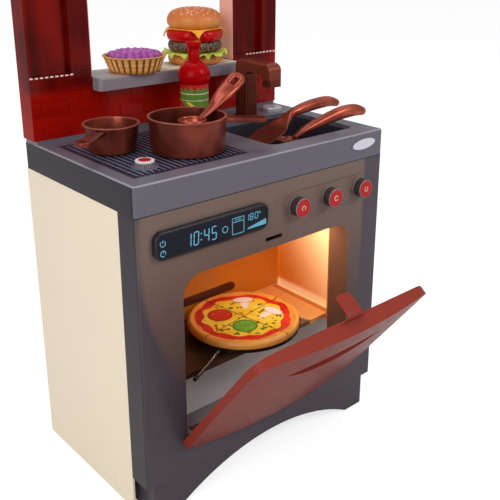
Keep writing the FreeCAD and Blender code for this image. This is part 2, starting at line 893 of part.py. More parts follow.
LINER_HALF = HALF - S.liner_side
LINER_BACK = REVEAL_BACK + S.liner_depth
LINER_TOP = OPENING_TOP + S.shell_wall


def make_oven_liner():
    """Pale box behind the mouth, with a ledge along each side that carries the shelf."""
    body = new_body("oven_liner")
    wall = S.liner_wall
    block(body, -LINER_HALF - wall, LINER_HALF + wall, REVEAL_BACK, LINER_BACK + wall,
          S.opening_bottom - wall, LINER_TOP + wall)
    cut_block(body, -LINER_HALF, LINER_HALF, REVEAL_BACK + wall, LINER_BACK,
              S.opening_bottom, LINER_TOP)
    mouth = new_sketch(body, "XZ_Plane", -REVEAL_BACK)
    draw_outline(mouth, rounded(
        -OPENING_HALF, S.opening_bottom, OPENING_HALF, OPENING_TOP,
        S.low_corner, S.opening_corner))
    pocket(body, mouth, wall * 3, both=True)
    ledge_top = S.shelf_level - S.shelf_thickness
    for side in (-1, 1):
        left, right = sorted((LINER_HALF * side, (LINER_HALF - S.ledge_width) * side), key=float)
        block(body, left, right, REVEAL_BACK + wall, LINER_BACK, ledge_top - wall, ledge_top)


def make_oven_shelf():
    """Removable plate on the ledges, with a turned-down front lip."""
    body = new_body("oven_shelf")
    half = LINER_HALF - S.ledge_width + S.shelf_thickness * 2
    low = S.shelf_level - S.shelf_thickness
    block(body, -half, half, REVEAL_BACK + S.liner_wall * 2, LINER_BACK - S.side_gap,
          low, S.shelf_level)
    lip = LINER_HALF - S.ledge_width - S.side_gap
    block(body, -lip, lip, REVEAL_BACK + S.liner_wall * 2,
          REVEAL_BACK + S.liner_wall * 2 + S.shell_wall, low - S.shelf_thickness, low)


def make_back_rail():
    """Round-ended dark bar across the liner's back wall."""
    body = new_body("back_rail")
    face = new_sketch(body, "XZ_Plane", -LINER_BACK)
    draw_outline(face, pill(Size(0, "0"), S.heater_level, S.heater_length / 2,
                            S.heater_height / 2))
    pad(body, face, S.heater_depth)


def make_lamp_lens():
    """Shallow round lens under the liner's ceiling, near the front right corner."""
    body = new_body("lamp_lens")
    side = new_sketch(body, "XZ_Plane")
    draw_outline(side, [
        (0, -S.lamp_depth), (S.lamp_radius, -S.lamp_depth / 3), (S.lamp_radius, 0), (0, 0)])
    revolve(body, side)
    place(body, LINER_HALF - S.ledge_width * 2, REVEAL_BACK + S.ledge_width, LINER_TOP)


# Oven door, drawn shut about its hinge axis and then turned open

def open_out(thing):
    return place(thing, 0.0, HINGE_Y, S.hinge_height, X_WAY, S.door_open_angle)


DOOR_FACE = -(S.hinge_back + S.running_gap)
DOOR_LOW = -(S.hinge_height - S.opening_bottom + S.door_overlap)
DOOR_TOP = LATCH_LOW - S.hinge_height - S.door_latch_gap
DOOR_HALF = HALF - S.door_side


def bowed_block(label, inset, low, top, corner, low_corner):
    """The door's bulk: flat behind, bowed in front, with rounded upper corners."""
    body = doc.addObject("PartDesign::Body", label)
    half = DOOR_HALF - inset
    edge = DOOR_FACE - S.door_edge + inset
    back = DOOR_FACE if float(inset) == 0 else DOOR_FACE + S.cut_overrun
    plan = new_sketch(body, "XY_Plane", low)
    draw_outline(plan, [
        (half, back), (-half, back), (-half, edge, S.door_bow), (half, edge)])
    bulk = pad(body, plan, top - low)
    upper = round_edges(
        body, bulk,
        lambda way, middle: abs(way.y) > 0.999 and middle.z > float(top) - 0.01, corner)
    round_edges(
        body, upper,
        lambda way, middle: abs(way.y) > 0.999 and middle.z < float(low) + 0.01, low_corner)
    return body


def make_oven_door():
    """Copper shell with a bowed front, a finger slot and two hinge knuckles."""
    shell = bowed_block("door_bulk", Size(0, "0"), DOOR_LOW, DOOR_TOP, S.door_corner,
                        S.door_low_corner)
    wall = S.door_wall
    hollow = bowed_block("door_hollow", wall, DOOR_LOW + wall * 1.7, DOOR_TOP - wall,
                         S.door_corner - wall, S.door_low_corner - wall)
    slot = doc.addObject("PartDesign::Body", "door_slot")
    lip = new_sketch(slot, "XZ_Plane", -DOOR_FACE + wall * 3)
    draw_outline(lip, hand_slot(0))
    pad(slot, lip, S.door_edge + S.door_bow)
    cup = doc.addObject("PartDesign::Body", "door_slot_cup")
    surround = new_sketch(cup, "XZ_Plane", -DOOR_FACE + wall * 2)
    draw_outline(surround, hand_slot(wall))
    pad(cup, surround, S.door_edge + S.door_bow)

    space = doc.addObject("Part::Cut", "door_space")
    space.Base, space.Tool = hollow, cup
    skinned = doc.addObject("Part::Cut", "door_skin")
    skinned.Base, skinned.Tool = shell, space
    slotted = doc.addObject("Part::Cut", "door_slotted")
    slotted.Base, slotted.Tool = skinned, slot

    stop = doc.addObject("PartDesign::Body", "door_stop_cut")
    wedge = new_sketch(stop, "YZ_Plane")
    draw_outline(wedge, [
        (DOOR_FACE + S.cut_overrun, DOOR_LOW - S.cut_overrun),
        (DOOR_FACE + S.cut_overrun, stop_line(DOOR_FACE + S.cut_overrun)),
        (DOOR_FACE - S.cut_overrun, stop_line(DOOR_FACE - S.cut_overrun)),
        (DOOR_FACE - S.cut_overrun, DOOR_LOW - S.cut_overrun),
    ])
    pad(stop, wedge, DOOR_HALF * 2 + S.cut_overrun, both=True)
    stopped = doc.addObject("Part::Cut", "door_stopped")
    stopped.Base, stopped.Tool = slotted, stop

    knuckles = []
    for side in (-1, 1):
        knuckle = doc.addObject("PartDesign::Body", "knuckle")
        eye = new_sketch(knuckle, "YZ_Plane", KNUCKLE_X * side)
        draw_circle(eye, 0, 0, S.knuckle_radius)
        pad(knuckle, eye, S.knuckle_width, both=True)
        arm = new_sketch(knuckle, "YZ_Plane", KNUCKLE_X * side)
        rectangle(arm, DOOR_FACE - S.door_wall, DOOR_LOW, 0, DOOR_LOW + wall * 1.7)
        pad(knuckle, arm, S.knuckle_width, both=True)
        bore = new_sketch(knuckle, "YZ_Plane", KNUCKLE_X * side)
        draw_circle(bore, 0, 0, S.hinge_radius)
        pocket(knuckle, bore, S.knuckle_width * 2, both=True)
        knuckles.append(knuckle)
    door = doc.addObject("Part::MultiFuse", "door_whole")
    door.Shapes = [stopped] + knuckles
    open_out(keep(door, "oven_door"))


def stop_line(y):
    """Height of the bevel that meets the panel when the door is open."""
    run = S.hinge_back + S.stop_gap
    angle = S.door_open_angle
    return Size((float(y) * math.cos(math.radians(float(angle))) + float(run))
                / math.sin(math.radians(float(angle))),
                "((%s * cos(%s) + %s) / sin(%s))" % (
                    formula_of(y), angle.formula, run.formula, angle.formula))


def hand_slot(grow):
    """Leaf outline of the finger slot: nearly straight above, bulging below."""
    half = DOOR_HALF - S.hand_slot_side + grow
    top = DOOR_TOP - S.hand_slot_drop + grow
    drop = S.hand_slot_height + grow * 2
    level = top - drop * 0.25
    return [(-half, level, drop * 0.75), (half, level, drop * 0.25)]


def make_door_lining():
    """Plain plate that closes the back of the door's shell."""
    body = new_body("door_lining")
    wall = S.door_wall
    half = DOOR_HALF - wall - S.side_gap / 5
    face = new_sketch(body, "XZ_Plane", -DOOR_FACE)
    draw_outline(face, rounded(
        -half, DOOR_LOW + wall * 1.7 + S.side_gap / 5, half, DOOR_TOP - wall - S.side_gap / 5,
        S.door_low_corner - wall, S.door_corner - wall))
    pad(body, face, wall)
    open_out(body)


def make_latch_tongue():
    """Curved tongue on the door's top edge, concentric with the hinge."""
    body = new_body("latch_tongue")
    low = LATCH_LOW - S.hinge_height + S.side_gap
    high = low + S.tongue_thickness
    rear = DOOR_FACE - S.side_gap
    fore = rear - S.tongue_thickness
    tip = S.tongue_reach
    side = new_sketch(body, "YZ_Plane")
    draw_outline(side, [
        (rear, DOOR_TOP), (rear, height_on(low, rear), arc_bulge(low, rear, tip) * -1),
        (tip, height_on(low, tip)), (tip, height_on(high, tip), arc_bulge(high, fore, tip)),
        (fore, height_on(high, fore)), (fore, DOOR_TOP),
    ])
    pad(body, side, S.tongue_width, both=True)
    open_out(body)


def height_on(radius, y):
    """Height of a circle about the hinge at a given depth."""
    return Size(math.sqrt(float(radius) ** 2 - float(y) ** 2),
                "sqrt(%s ^ 2 - (%s) ^ 2)" % (formula_of(radius), formula_of(y)))


def arc_bulge(radius, y_start, y_end):
    """Rise of an arc of that radius over the chord between two depths."""
    dy = y_end - y_start
    dz = height_on(radius, y_end) - height_on(radius, y_start)
    chord = dy * dy + dz * dz
    rise = float(radius) - math.sqrt(float(radius) ** 2 - float(chord) / 4)
    return Size(rise, "(%s - sqrt(%s ^ 2 - %s / 4))" % (
        radius.formula, radius.formula, chord.formula))


def make_hinge_pins():
    """Two steel pins, each through a knuckle and into the seats on both sides of it."""
    pins = []
    length = S.knuckle_width + (S.running_gap + S.hinge_seat - S.side_gap) * 2
    for side in (-1, 1):
        pin = doc.addObject("Part::Cylinder", "hinge_pin")
        bind(pin, "Radius", S.hinge_radius)
        bind(pin, "Height", length)
        place(pin, KNUCKLE_X * side - length / 2, 0.0, 0.0, Y_WAY, 90)
        pins.append(pin)
    both = doc.addObject("Part::Compound", "hinge_pins")
    both.Links = pins
    open_out(keep(both, "door_hinge_pins"))


# Tap

def make_tap():
    """Square-section swan neck on a spindle, over a low round collar."""
    collar = new_body("tap_collar")
    ring = new_sketch(collar, "XY_Plane")
    draw_circle(ring, 0, 0, S.tap_collar_radius)
    draw_circle(ring, 0, 0, S.tap_spindle + S.shaft_running)
    pad(collar, ring, S.tap_collar_height)
    place(collar, TAP_X, TAP_Y, TOP)

    spout = new_body("tap_spout")
    foot = S.tap_collar_height + S.running_gap
    high = S.tap_height
    low = high - S.tap_arm
    half = S.tap_width / 2
    tip = -S.tap_reach
    bend = S.tap_bend
    bulge = bend * CORNER_BULGE_SHARE
    throat = S.tap_drop - S.tap_arm
    side = new_sketch(spout, "YZ_Plane")
    draw_outline(side, [
        (half, foot), (half, high - bend, bulge), (half - bend, high),
        (tip + bend, high, bulge), (tip, high - bend), (tip, high - S.tap_drop),
        (tip + S.tap_arm, high - S.tap_drop), (tip + S.tap_arm, low - throat / 3),
        (tip + S.tap_arm + throat / 3, low), (-half - throat / 3, low),
        (-half, low - throat / 3), (-half, foot),
    ])
    bulk = pad(spout, side, S.tap_width, both=True)
    round_edges(spout, bulk, outer_tap_edge, S.tap_edge)
    spindle = new_sketch(spout, "XY_Plane", foot)
    draw_circle(spindle, 0, 0, S.tap_spindle)
    pad(spout, spindle, foot + S.worktop_thickness + S.cut_overrun, reverse=True)
    place(spout, TAP_X, TAP_Y, TOP)


def outer_tap_edge(way, middle):
    on_side = abs(abs(middle.x) - float(S.tap_width / 2)) < 0.01 and abs(way.x) < 0.01
    on_back = abs(middle.y - float(S.tap_width / 2)) < 0.01
    on_top = abs(middle.z - float(S.tap_height)) < 0.01
    on_tip = abs(middle.y + float(S.tap_reach)) < 0.01
    return on_side and (on_back or on_top or on_tip)


def make_tap_dial():
    """Grey dial beside the tap, on a short shaft."""
    body = new_body("tap_dial")
    edge = S.tap_dial_height / 4
    side = new_sketch(body, "XZ_Plane")
    draw_outline(side, [
        (0, -S.worktop_thickness - S.side_gap), (S.knob_shaft, -S.worktop_thickness - S.side_gap),
        (S.knob_shaft, 0), (S.tap_dial_radius, 0), (S.tap_dial_radius, S.tap_dial_height - edge),
        (S.tap_dial_radius - edge, S.tap_dial_height), (0, S.tap_dial_height),
    ])
    revolve(body, side)
    place(body, DIAL_X, DIAL_Y, TOP + S.running_gap)


# Brick serving frame

WINDOW_HALF = S.window_width / 2
COLUMN_WIDTH = HALF - WINDOW_HALF
FRAME_TOP = TOP + S.frame_height
WINDOW_TOP = FRAME_TOP - S.header_height
COURSE = S.brick_height + S.mortar_width
SHELF_TOP = TOP + S.shelf_rise
SHELF_LOW = SHELF_TOP - S.shelf_lip
SHELF_FRONT = FRAME_FRONT - S.shelf_overhang
SHELF_BACK = BACK + S.shelf_overhang


def fit_count(room, pitch):
    """How many whole steps of a pitch fit into a length."""
    return int(float(room) / float(pitch))


def course_joints(body, left, right, low, high):
    """Level mortar lines cut into the frame's front face."""
    joint = new_sketch(body, "XZ_Plane", -FRAME_FRONT)
    first = low + S.brick_height
    rectangle(joint, left, first, right, first + S.mortar_width)
    count = fit_count(high - low - S.mortar_width, COURSE)
    line = pocket(body, joint, S.mortar_depth * 2, both=True)
    repeat(body, [line], joint, "V_Axis", COURSE, count)


def upright_joints(body, start, right, low, high):
    """Upright mortar lines, each second course moved half a brick to the side."""
    rise = S.brick_height
    wide = fit_count(right - start + S.brick_length / 2, S.brick_length)
    pairs = fit_count(high - low + S.brick_height, COURSE * 2)
    for odd in (0, 1):
        joint = new_sketch(body, "XZ_Plane", -FRAME_FRONT)
        left = start + S.brick_length / 2 * odd
        floor = low + COURSE * odd
        for level in range(pairs):
            base = floor + COURSE * 2 * level
            rectangle(joint, left, base, left + S.mortar_width, base + rise)
        line = pocket(body, joint, S.mortar_depth * 2, both=True)
        repeat(body, [line], joint, "H_Axis", S.brick_length, wide)


def hollow_behind(body, left, right, low, high):
    """Take out the back so that a moulded skin is left."""
    wall = S.frame_wall
    cut_block(body, left + wall, right - wall, BACK - S.frame_depth / 2,
              BACK + S.cut_overrun, low + wall, high - wall)


def make_brick_panel():
    """Low brick wall between the columns, under the serving shelf."""
    body = new_body("brick_panel")
    half = WINDOW_HALF - S.deck_gap
    low = DECK + S.deck_gap
    high = SHELF_LOW - S.deck_gap
    block(body, -half, half, FRAME_FRONT, BACK, low, high)
    hollow_behind(body, -half, half, low, high)
    course_joints(body, -half, half, low, high)
    upright_joints(body, -half + S.brick_length / 2, half, low, high)


def make_column(label, left):
    """Brick column with a niche beside a plain border strip."""
    body = new_body(label)
    right = left + COLUMN_WIDTH
    low = DECK + S.deck_gap
    high = WINDOW_TOP
    block(body, left, right, FRAME_FRONT, BACK, low, high)
    hollow_behind(body, left, right, low, high)
    niche_floor = TOP + S.niche_floor
    cut_block(body, left + S.niche_edge, right - S.niche_border,
              FRAME_FRONT - S.cut_overrun, FRAME_FRONT + S.niche_depth,
              niche_floor, high - COURSE)
    course_joints(body, left, right, low, niche_floor)
    upright_joints(body, left + S.brick_length / 3, right, low, niche_floor)


def make_header_panel():
    """Brick lintel over the window, gently arched on top."""
    body = new_body("header_panel")
    shoulder = FRAME_TOP - S.frame_crown
    low = WINDOW_TOP + S.deck_gap
    face = new_sketch(body, "XZ_Plane", -FRAME_FRONT)
    draw_outline(face, [
        (-HALF, low), (HALF, low), (HALF, shoulder, FRAME_TOP - shoulder), (-HALF, shoulder)])
    pad(body, face, S.frame_depth, reverse=True)
    hollow_behind(body, -HALF, HALF, low, shoulder)
    course_joints(body, -HALF, HALF, low, shoulder)
    upright_joints(body, -HALF + S.brick_length / 2, HALF, low, shoulder)


def make_window_shelf():
    """Grey serving shelf with a rounded front, hollow below."""
    body = new_body("window_shelf")
    half = WINDOW_HALF - S.deck_gap
    bulk = block(body, -half, half, SHELF_FRONT, SHELF_BACK, SHELF_LOW, SHELF_TOP)
    upright = round_edges(body, bulk, along(Z_WAY), S.worktop_corner)
    front = float(SHELF_FRONT)
    round_edges(body, upright,
                lambda way, middle: abs(middle.z - float(SHELF_TOP)) < 0.01
                and abs(middle.y - front) < 0.01, S.worktop_round)
    wall = S.shell_wall
    cut_block(body, -half + wall, half - wall, SHELF_FRONT + wall, FRAME_FRONT,
              SHELF_LOW - S.cut_overrun, SHELF_TOP - wall)
    cut_block(body, -half + wall, half - wall, BACK, SHELF_BACK - wall,
              SHELF_LOW - S.cut_overrun, SHELF_TOP - wall)


# Pans

PAN_FLOOR = HOB_FLOOR + HOB_PLATE + S.hob_rib_height + S.running_gap


def make_pan(label, x, y, rim, base, height, length, turn, ridges):
    """Open pan with a rolled rim and a flat handle that has a hanging hole."""
    body = new_body(label)
    wall = S.pan_wall
    side = new_sketch(body, "XZ_Plane")
    draw_outline(side, [
        (0, 0), (base - wall * 2, 0, wall * 2 * CORNER_BULGE_SHARE), (base, wall * 2),
        (rim - wall * 0.7, height - wall), (rim, height - wall), (rim, height),
        (rim - wall * 1.7, height), (base - wall * 1.2, wall * 2),
        (base - wall * 3, wall), (0, wall),
    ])
    revolve(body, side)
    thick = S.pan_handle_thickness
    top = height - wall * 1.5
    half = S.pan_handle_width / 2
    start = rim - wall * 1.6
    end = rim + length
    neck = half * 0.75
    handle = new_sketch(body, "XY_Plane", top - thick)
    draw_outline(handle, [
        (start, -neck), (end - half, -half, half * CORNER_BULGE_SHARE),
        (end, 0, half * CORNER_BULGE_SHARE), (end - half, half), (start, neck)])
    draw_circle(handle, end - half, 0, half * 0.4)
    bar = pad(body, handle, thick)
    round_edges(body, bar, long_handle_edge(top, thick), thick / 4)
    for side_of in ridges:
        line = new_sketch(body, "XY_Plane", top)
        middle = half * 0.45 * side_of
        rectangle(line, rim + wall, middle - wall / 2, end - half * 2, middle + wall / 2)
        pad(body, line, wall / 2)
    place(body, HOB_LEFT + x, FRONT + y, PAN_FLOOR, None, turn)


def long_handle_edge(top, thick):
    """A test for the straight edges along a pan handle."""
    def test(way, middle):
        level = min(abs(middle.z - float(top)), abs(middle.z - float(top - thick)))
        return level < 0.01 and abs(way.x) > 0.9
    return test


# Utensils: each lies along its own X axis and is turned into place

def utensil_grip(body, start, end, low_start, low_end, deep_start, deep_end, sag, width):
    """Gently curved grip with rounded edges; start and end are distances along it."""
    side = new_sketch(body, "XZ_Plane")
    draw_outline(side, [
        (start, low_start, sag), (end, low_end), (end, low_end + deep_end, -sag),
        (start, low_start + deep_start),
    ])
    bar = pad(body, side, width, both=True)
    far = float(end)
    round_edges(body, bar,
                lambda way, middle: abs(way.x) < 0.01 and abs(way.y) < 0.01
                and abs(middle.x - far) < 0.01, width / 3)


def bowl(body, radius, depth, wall):
    """Round dish open at the top, its rim level with the body's origin."""
    outer = new_sketch(body, "XZ_Plane")
    draw_outline(outer, [(0, -depth, dome_bulge(radius, depth)), (radius, 0), (0, 0)])
    revolve(body, outer)
    inner = new_sketch(body, "XZ_Plane")
    reach = radius - wall
    draw_outline(inner, [
        (0, wall - depth, dome_bulge(reach, depth - wall)), (reach, 0), (reach, depth),
        (0, depth)])
    groove(body, inner)


def make_ladle():
    """Round bowl with a rising curved grip that rests on the large pan's rim."""
    body = new_body("ladle")
    wall = S.utensil_wall
    radius = S.ladle_radius
    depth = S.ladle_depth
    bowl(body, radius, depth, wall)
    utensil_grip(body, radius - wall * 0.8, S.ladle_length, S.ladle_neck_low, S.ladle_end_low,
                 wall * 1.6, S.grip_thickness * 0.8, S.ladle_sag, S.grip_width * 0.9)
    hole = new_sketch(body, "XY_Plane", S.ladle_end_low)
    draw_outline(hole, pill(S.ladle_length - S.grip_width, Size(0, "0"),
                            S.grip_width / 2, S.grip_width / 6))
    pocket(body, hole, S.grip_width * 4, both=True)
    place(body, HOB_LEFT + S.large_pan_side + S.ladle_aside,
          FRONT + S.large_pan_y - S.ladle_ahead, PAN_FLOOR + S.large_pan_height + S.ladle_above, None, S.ladle_angle)


def make_spatula():
    """Broad blade sloping into the sink, with a grip over the sink's right edge."""
    body = new_body("spatula")
    wall = S.utensil_wall
    half = S.spatula_width / 2
    neck = S.grip_width / 2
    reach = SINK_RIGHT - SINK_LEFT - S.spatula_side - S.spatula_sink_gap
    blade = new_sketch(body, "XY_Plane", -wall * 20)
    draw_outline(blade, [
        (-reach, -half), (-reach * 0.45, -half * 0.96), (0, -neck * 0.8),
        (S.grip_width, -neck * 0.8), (S.grip_width, neck * 0.8), (0, neck * 0.8),
        (-reach * 0.45, half * 0.96), (-reach, half),
    ])
    bulk = pad(body, blade, wall * 40)
    slope = new_sketch(body, "XZ_Plane")
    drop = S.spatula_drop
    edge = reach + S.cut_overrun
    tall = wall * 30
    draw_outline(slope, [
        (-edge, -drop + wall), (0, wall), (edge, wall), (edge, tall), (-edge, tall)])
    pocket(body, slope, S.spatula_width * 2, both=True)
    under = new_sketch(body, "XZ_Plane")
    draw_outline(under, [
        (-edge, -tall), (edge, -tall), (edge, 0), (0, 0), (-edge, -drop)])
    pocket(body, under, S.spatula_width * 2, both=True)
    utensil_grip(body, S.grip_width * 0.6, S.spatula_grip, 0, S.spatula_rise,
                 wall, S.grip_thickness, S.grip_sag, S.grip_width)
    finish_grip(body, S.spatula_grip, S.spatula_rise, S.running_gap - S.spatula_z)
    place(body, SINK_RIGHT - S.spatula_side, FRONT + S.spatula_y, TOP + S.spatula_z, None,
          S.spatula_angle)


def finish_grip(body, length, rise, foot):
    """A heel under the grip that stands on the sink's edge, and a hanging slot."""
    heel = new_sketch(body, "XZ_Plane")
    reach = length - S.heel_back
    draw_outline(heel, [
        (reach, foot), (reach + S.grip_thickness, foot),
        (reach + S.grip_thickness * 1.6, rise), (reach - S.grip_thickness, rise),
    ])
    pad(body, heel, S.grip_width / 2, both=True)
    hole = new_sketch(body, "XY_Plane")
    draw_outline(hole, pill(length - S.grip_width * 0.8, Size(0, "0"),
                            S.grip_width * 0.4, S.grip_width / 7))
    pocket(body, hole, S.grip_width * 6, both=True)


def make_serving_spoon():
    """Oval spoon with the same grip as the spatula."""
    body = new_body("serving_spoon")
    wall = S.utensil_wall
    half = S.spoon_width / 2
    depth = half * 0.5
    bowl(body, half, depth, wall * 0.7)
    utensil_grip(body, half - wall * 0.4, S.spoon_grip, -wall / 2, S.spoon_rise,
                 wall, S.grip_thickness, S.grip_sag, S.grip_width * 0.85)
    finish_grip(body, S.spoon_grip, S.spoon_rise, S.running_gap - S.spoon_z)
    place(body, SINK_RIGHT - S.spoon_side, FRONT + S.spoon_y, TOP + S.spoon_z, None, S.spoon_angle)


# Pizza

PIZZA_X = S.pizza_aside
PIZZA_Y = FRONT + S.pizza_y
PIZZA_PAN_LOW = S.shelf_level + S.running_gap


def make_pizza_pan():
    """Shallow black pan on a foot ring, with a plain bar for a handle."""
    body = new_body("pizza_pan")
    wall = S.pizza_pan_wall
    radius = S.pizza_pan_radius
    side = new_sketch(body, "XZ_Plane")
    low = S.pizza_pan_foot
    rim = low + S.pizza_pan_height
    foot = S.pizza_foot_radius
    draw_outline(side, [
        (0, low), (foot - wall, low), (foot - wall, 0), (foot, 0), (foot, low),
        (S.pizza_pan_base, low), (radius, rim), (radius - wall, rim), (radius - wall, low + wall),
        (0, low + wall),
    ])
    revolve(body, side)
    start = radius - wall * 0.9
    turned = polar(Size(1, "1"), S.pizza_handle_angle, "cos")
    tip = -(OPENING_HALF + PIZZA_X - S.pizza_handle_gap) / turned
    bar = new_sketch(body, "YZ_Plane", start)
    draw_circle(bar, 0, rim - S.pizza_bar_radius, S.pizza_bar_radius * 0.8)
    pad(body, bar, tip - start)
    place(body, PIZZA_X, PIZZA_Y, PIZZA_PAN_LOW, None, S.pizza_handle_angle)


def make_pizza_slices():
    """Four quarter slices with a raised round crust, a hair's breadth apart."""
    names = ("pizza_slice_back_right", "pizza_slice_back_left",
             "pizza_slice_front_left", "pizza_slice_front_right")
    thick = S.pizza_thickness
    radius = S.pizza_radius - S.pizza_pan_wall
    low = PIZZA_PAN_LOW + S.pizza_pan_foot + S.pizza_pan_wall + S.running_gap
    crust = S.crust_round
    slice_angle = Size(FULL_TURN / len(names), "%g" % (FULL_TURN / len(names)))
    for step, name in enumerate(names):
        body = new_body(name)
        side = new_sketch(body, "XZ_Plane")
        draw_outline(side, [
            (0, 0), (radius - crust, 0, crust * CORNER_BULGE_SHARE), (radius, crust),
            (radius, thick - crust, crust * CORNER_BULGE_SHARE), (radius - crust, thick),
            (radius - crust * 2, thick - S.crust_step), (0, thick - S.crust_step),
        ])
        revolve(body, side, float(slice_angle))
        turn = S.pizza_angle + slice_angle * step
        middle = turn + slice_angle / 2
        shift = S.running_gap
        place(body, PIZZA_X + polar(shift, middle, "cos"), PIZZA_Y + polar(shift, middle, "sin"),
              low, None, turn)


def polar(length, angle, kind):
    """One component of a length laid off at an angle."""
    wave = {"cos": math.cos, "sin": math.sin}[kind]
    return Size(float(length) * wave(math.radians(float(angle))),
                "(%s * %s(%s))" % (length.formula, kind, angle.formula))


# Food on the shelf, and the bottle

FOOD_FLOOR = SHELF_TOP + S.running_gap


def make_bottle():
    """Round-shouldered sauce bottle with a flanged cap and a wrapped label."""
    body = new_body("bottle")
    skin = S.label_thickness
    radius = S.bottle_radius
    side = new_sketch(body, "XZ_Plane")
    neck = S.bottle_neck_radius
    draw_outline(side, [
        (0, 0), (radius - skin * 4, 0, skin), (radius - skin, skin * 4),
        (radius - skin, S.bottle_shoulder), (radius, S.bottle_shoulder, S.bottle_bulge),
        (neck, S.bottle_neck), (neck, S.bottle_height - S.bottle_cap_height),
        (0, S.bottle_height - S.bottle_cap_height),
    ])
    revolve(body, side)

    cap = new_body("bottle_cap")
    rim = S.bottle_cap_radius
    low = S.bottle_height - S.bottle_cap_height
    side = new_sketch(cap, "XZ_Plane")
    draw_outline(side, [
        (0, low), (neck + skin, low), (neck + skin, low + skin * 4), (neck, low + skin * 8),
        (neck, S.bottle_height - rim + skin), (rim, S.bottle_height - rim / 2),
        (rim, S.bottle_height - skin * 2, skin / 4), (rim - skin * 2, S.bottle_height),
        (0, S.bottle_height),
    ])
    revolve(cap, side)

    label = new_body("bottle_label")
    ring = new_sketch(label, "XY_Plane", skin * 12)
    draw_circle(ring, 0, 0, radius)
    draw_circle(ring, 0, 0, radius - skin)
    pad(label, ring, S.bottle_shoulder - skin * 12)
    for piece in (body, cap, label):
        place(piece, across(S.bottle_x_share), FRAME_FRONT - S.bottle_ahead, TOP + S.running_gap)


def make_tart():
    """Flared pastry case with fluted sides, and a mounded berry filling."""
    crust = new_body("tart_crust")
    wall = S.tart_wall
    base, rim, height = S.tart_base, S.tart_rim, S.tart_height
    side = new_sketch(crust, "XZ_Plane")
    draw_outline(side, [
        (0, 0), (base, 0), (rim, height - wall / 2, wall * 0.3), (rim - wall, height),
        (rim - wall * 1.6, height - wall), (base - wall, wall), (0, wall),
    ])
    bulk = revolve(crust, side)
    flute = new_sketch(crust, "XY_Plane", -S.cut_overrun)
    draw_circle(flute, rim + S.tart_flute * 0.45, 0, S.tart_flute)
    cut = pocket(crust, flute, height + S.cut_overrun * 2, reverse=True)
    ring = crust.newObject("PartDesign::PolarPattern", "tart_flutes")
    ring.Originals = [cut]
    ring.Axis = (flute, ["N_Axis"])
    ring.Angle = FULL_TURN
    ring.Occurrences = 28
    crust.Tip = ring

    filling = new_body("tart_filling")
    side = new_sketch(filling, "XZ_Plane")
    inner = rim - wall * 1.7
    draw_outline(side, [
        (0, wall), (base - wall, wall), (inner, height - wall),
        (inner, height, dome_bulge(inner, S.tart_mound)), (0, height + S.tart_mound),
    ])
    revolve(filling, side)
    for piece in (crust, filling):
        place(piece, -S.tart_left, FRAME_FRONT + S.tart_back, FOOD_FLOOR)


def layer(label, low, profile):
    """One round burger layer from its half profile."""
    body = new_body(label)
    side = new_sketch(body, "XZ_Plane")
    draw_outline(side, profile)
    revolve(body, side)
    place(body, S.burger_right, FRAME_FRONT + S.burger_back, low)
    return body


def drum(radius, thick, soft):
    """Half profile of a disc with soft edges."""
    bulge = soft * CORNER_BULGE_SHARE
    return [
        (0, 0), (radius - soft, 0, bulge), (radius, soft), (radius, thick - soft, bulge),
        (radius - soft, thick), (0, thick),
    ]


def make_burger():
    """Six loose layers, each lying on the one below."""
    gap = S.running_gap
    bun = S.bun_radius
    low = FOOD_FLOOR
    layer("bun_bottom", low, drum(bun, S.bun_base_height, S.bun_base_height * 0.4))
    low = low + S.bun_base_height + gap
    layer("burger_lettuce", low, drum(S.lettuce_radius, S.lettuce_thickness,
                                      S.lettuce_thickness * 0.4))
    low = low + S.lettuce_thickness + gap
    layer("burger_patty", low, drum(bun * 0.98, S.patty_height, S.patty_height * 0.35))
    low = low + S.patty_height + gap
    layer("burger_tomato", low, drum(S.tomato_radius, S.tomato_height, S.tomato_height * 0.4))
    low = low + S.tomato_height + gap
    cheese = new_body("burger_cheese")
    face = new_sketch(cheese, "XY_Plane")
    half = S.cheese_size / 2
    draw_outline(face, rounded(-half, -half, half, half, S.crust_round, S.crust_round))
    pad(cheese, face, S.cheese_thickness)
    place(cheese, S.burger_right, FRAME_FRONT + S.burger_back, low, None, S.cheese_angle)
    low = low + S.cheese_thickness + gap
    tall = S.bun_top_height
    waist = tall / 3
    crown = bun * S.bun_crown_share
    brow = tall * S.bun_crown_share
    layer("bun_top", low, [
        (0, 0), (bun - waist, 0, waist * CORNER_BULGE_SHARE), (bun, waist, waist / 6),
        (crown, brow, dome_bulge(crown, tall - brow)), (0, tall),
    ])


# Fasteners

def make_panel_screws():
    """Pan-head screws along the edges of the back panel."""
    screws = []
    for x_side in (-1, 1):
        for level in (S.foot_height + S.skirt_height, SKIRT_LOW - S.skirt_height):
            head = doc.addObject("Part::Cylinder", "screw")
            bind(head, "Radius", S.screw_radius)
            bind(head, "Height", S.screw_head)
            place(head, (WIDE - S.skirt_height / 2) * x_side, BACK + S.screw_head, level,
                  X_WAY, 90)
            screws.append(head)
    group = doc.addObject("Part::Compound", "screws")
    group.Links = screws
    keep(group, "panel_screws")


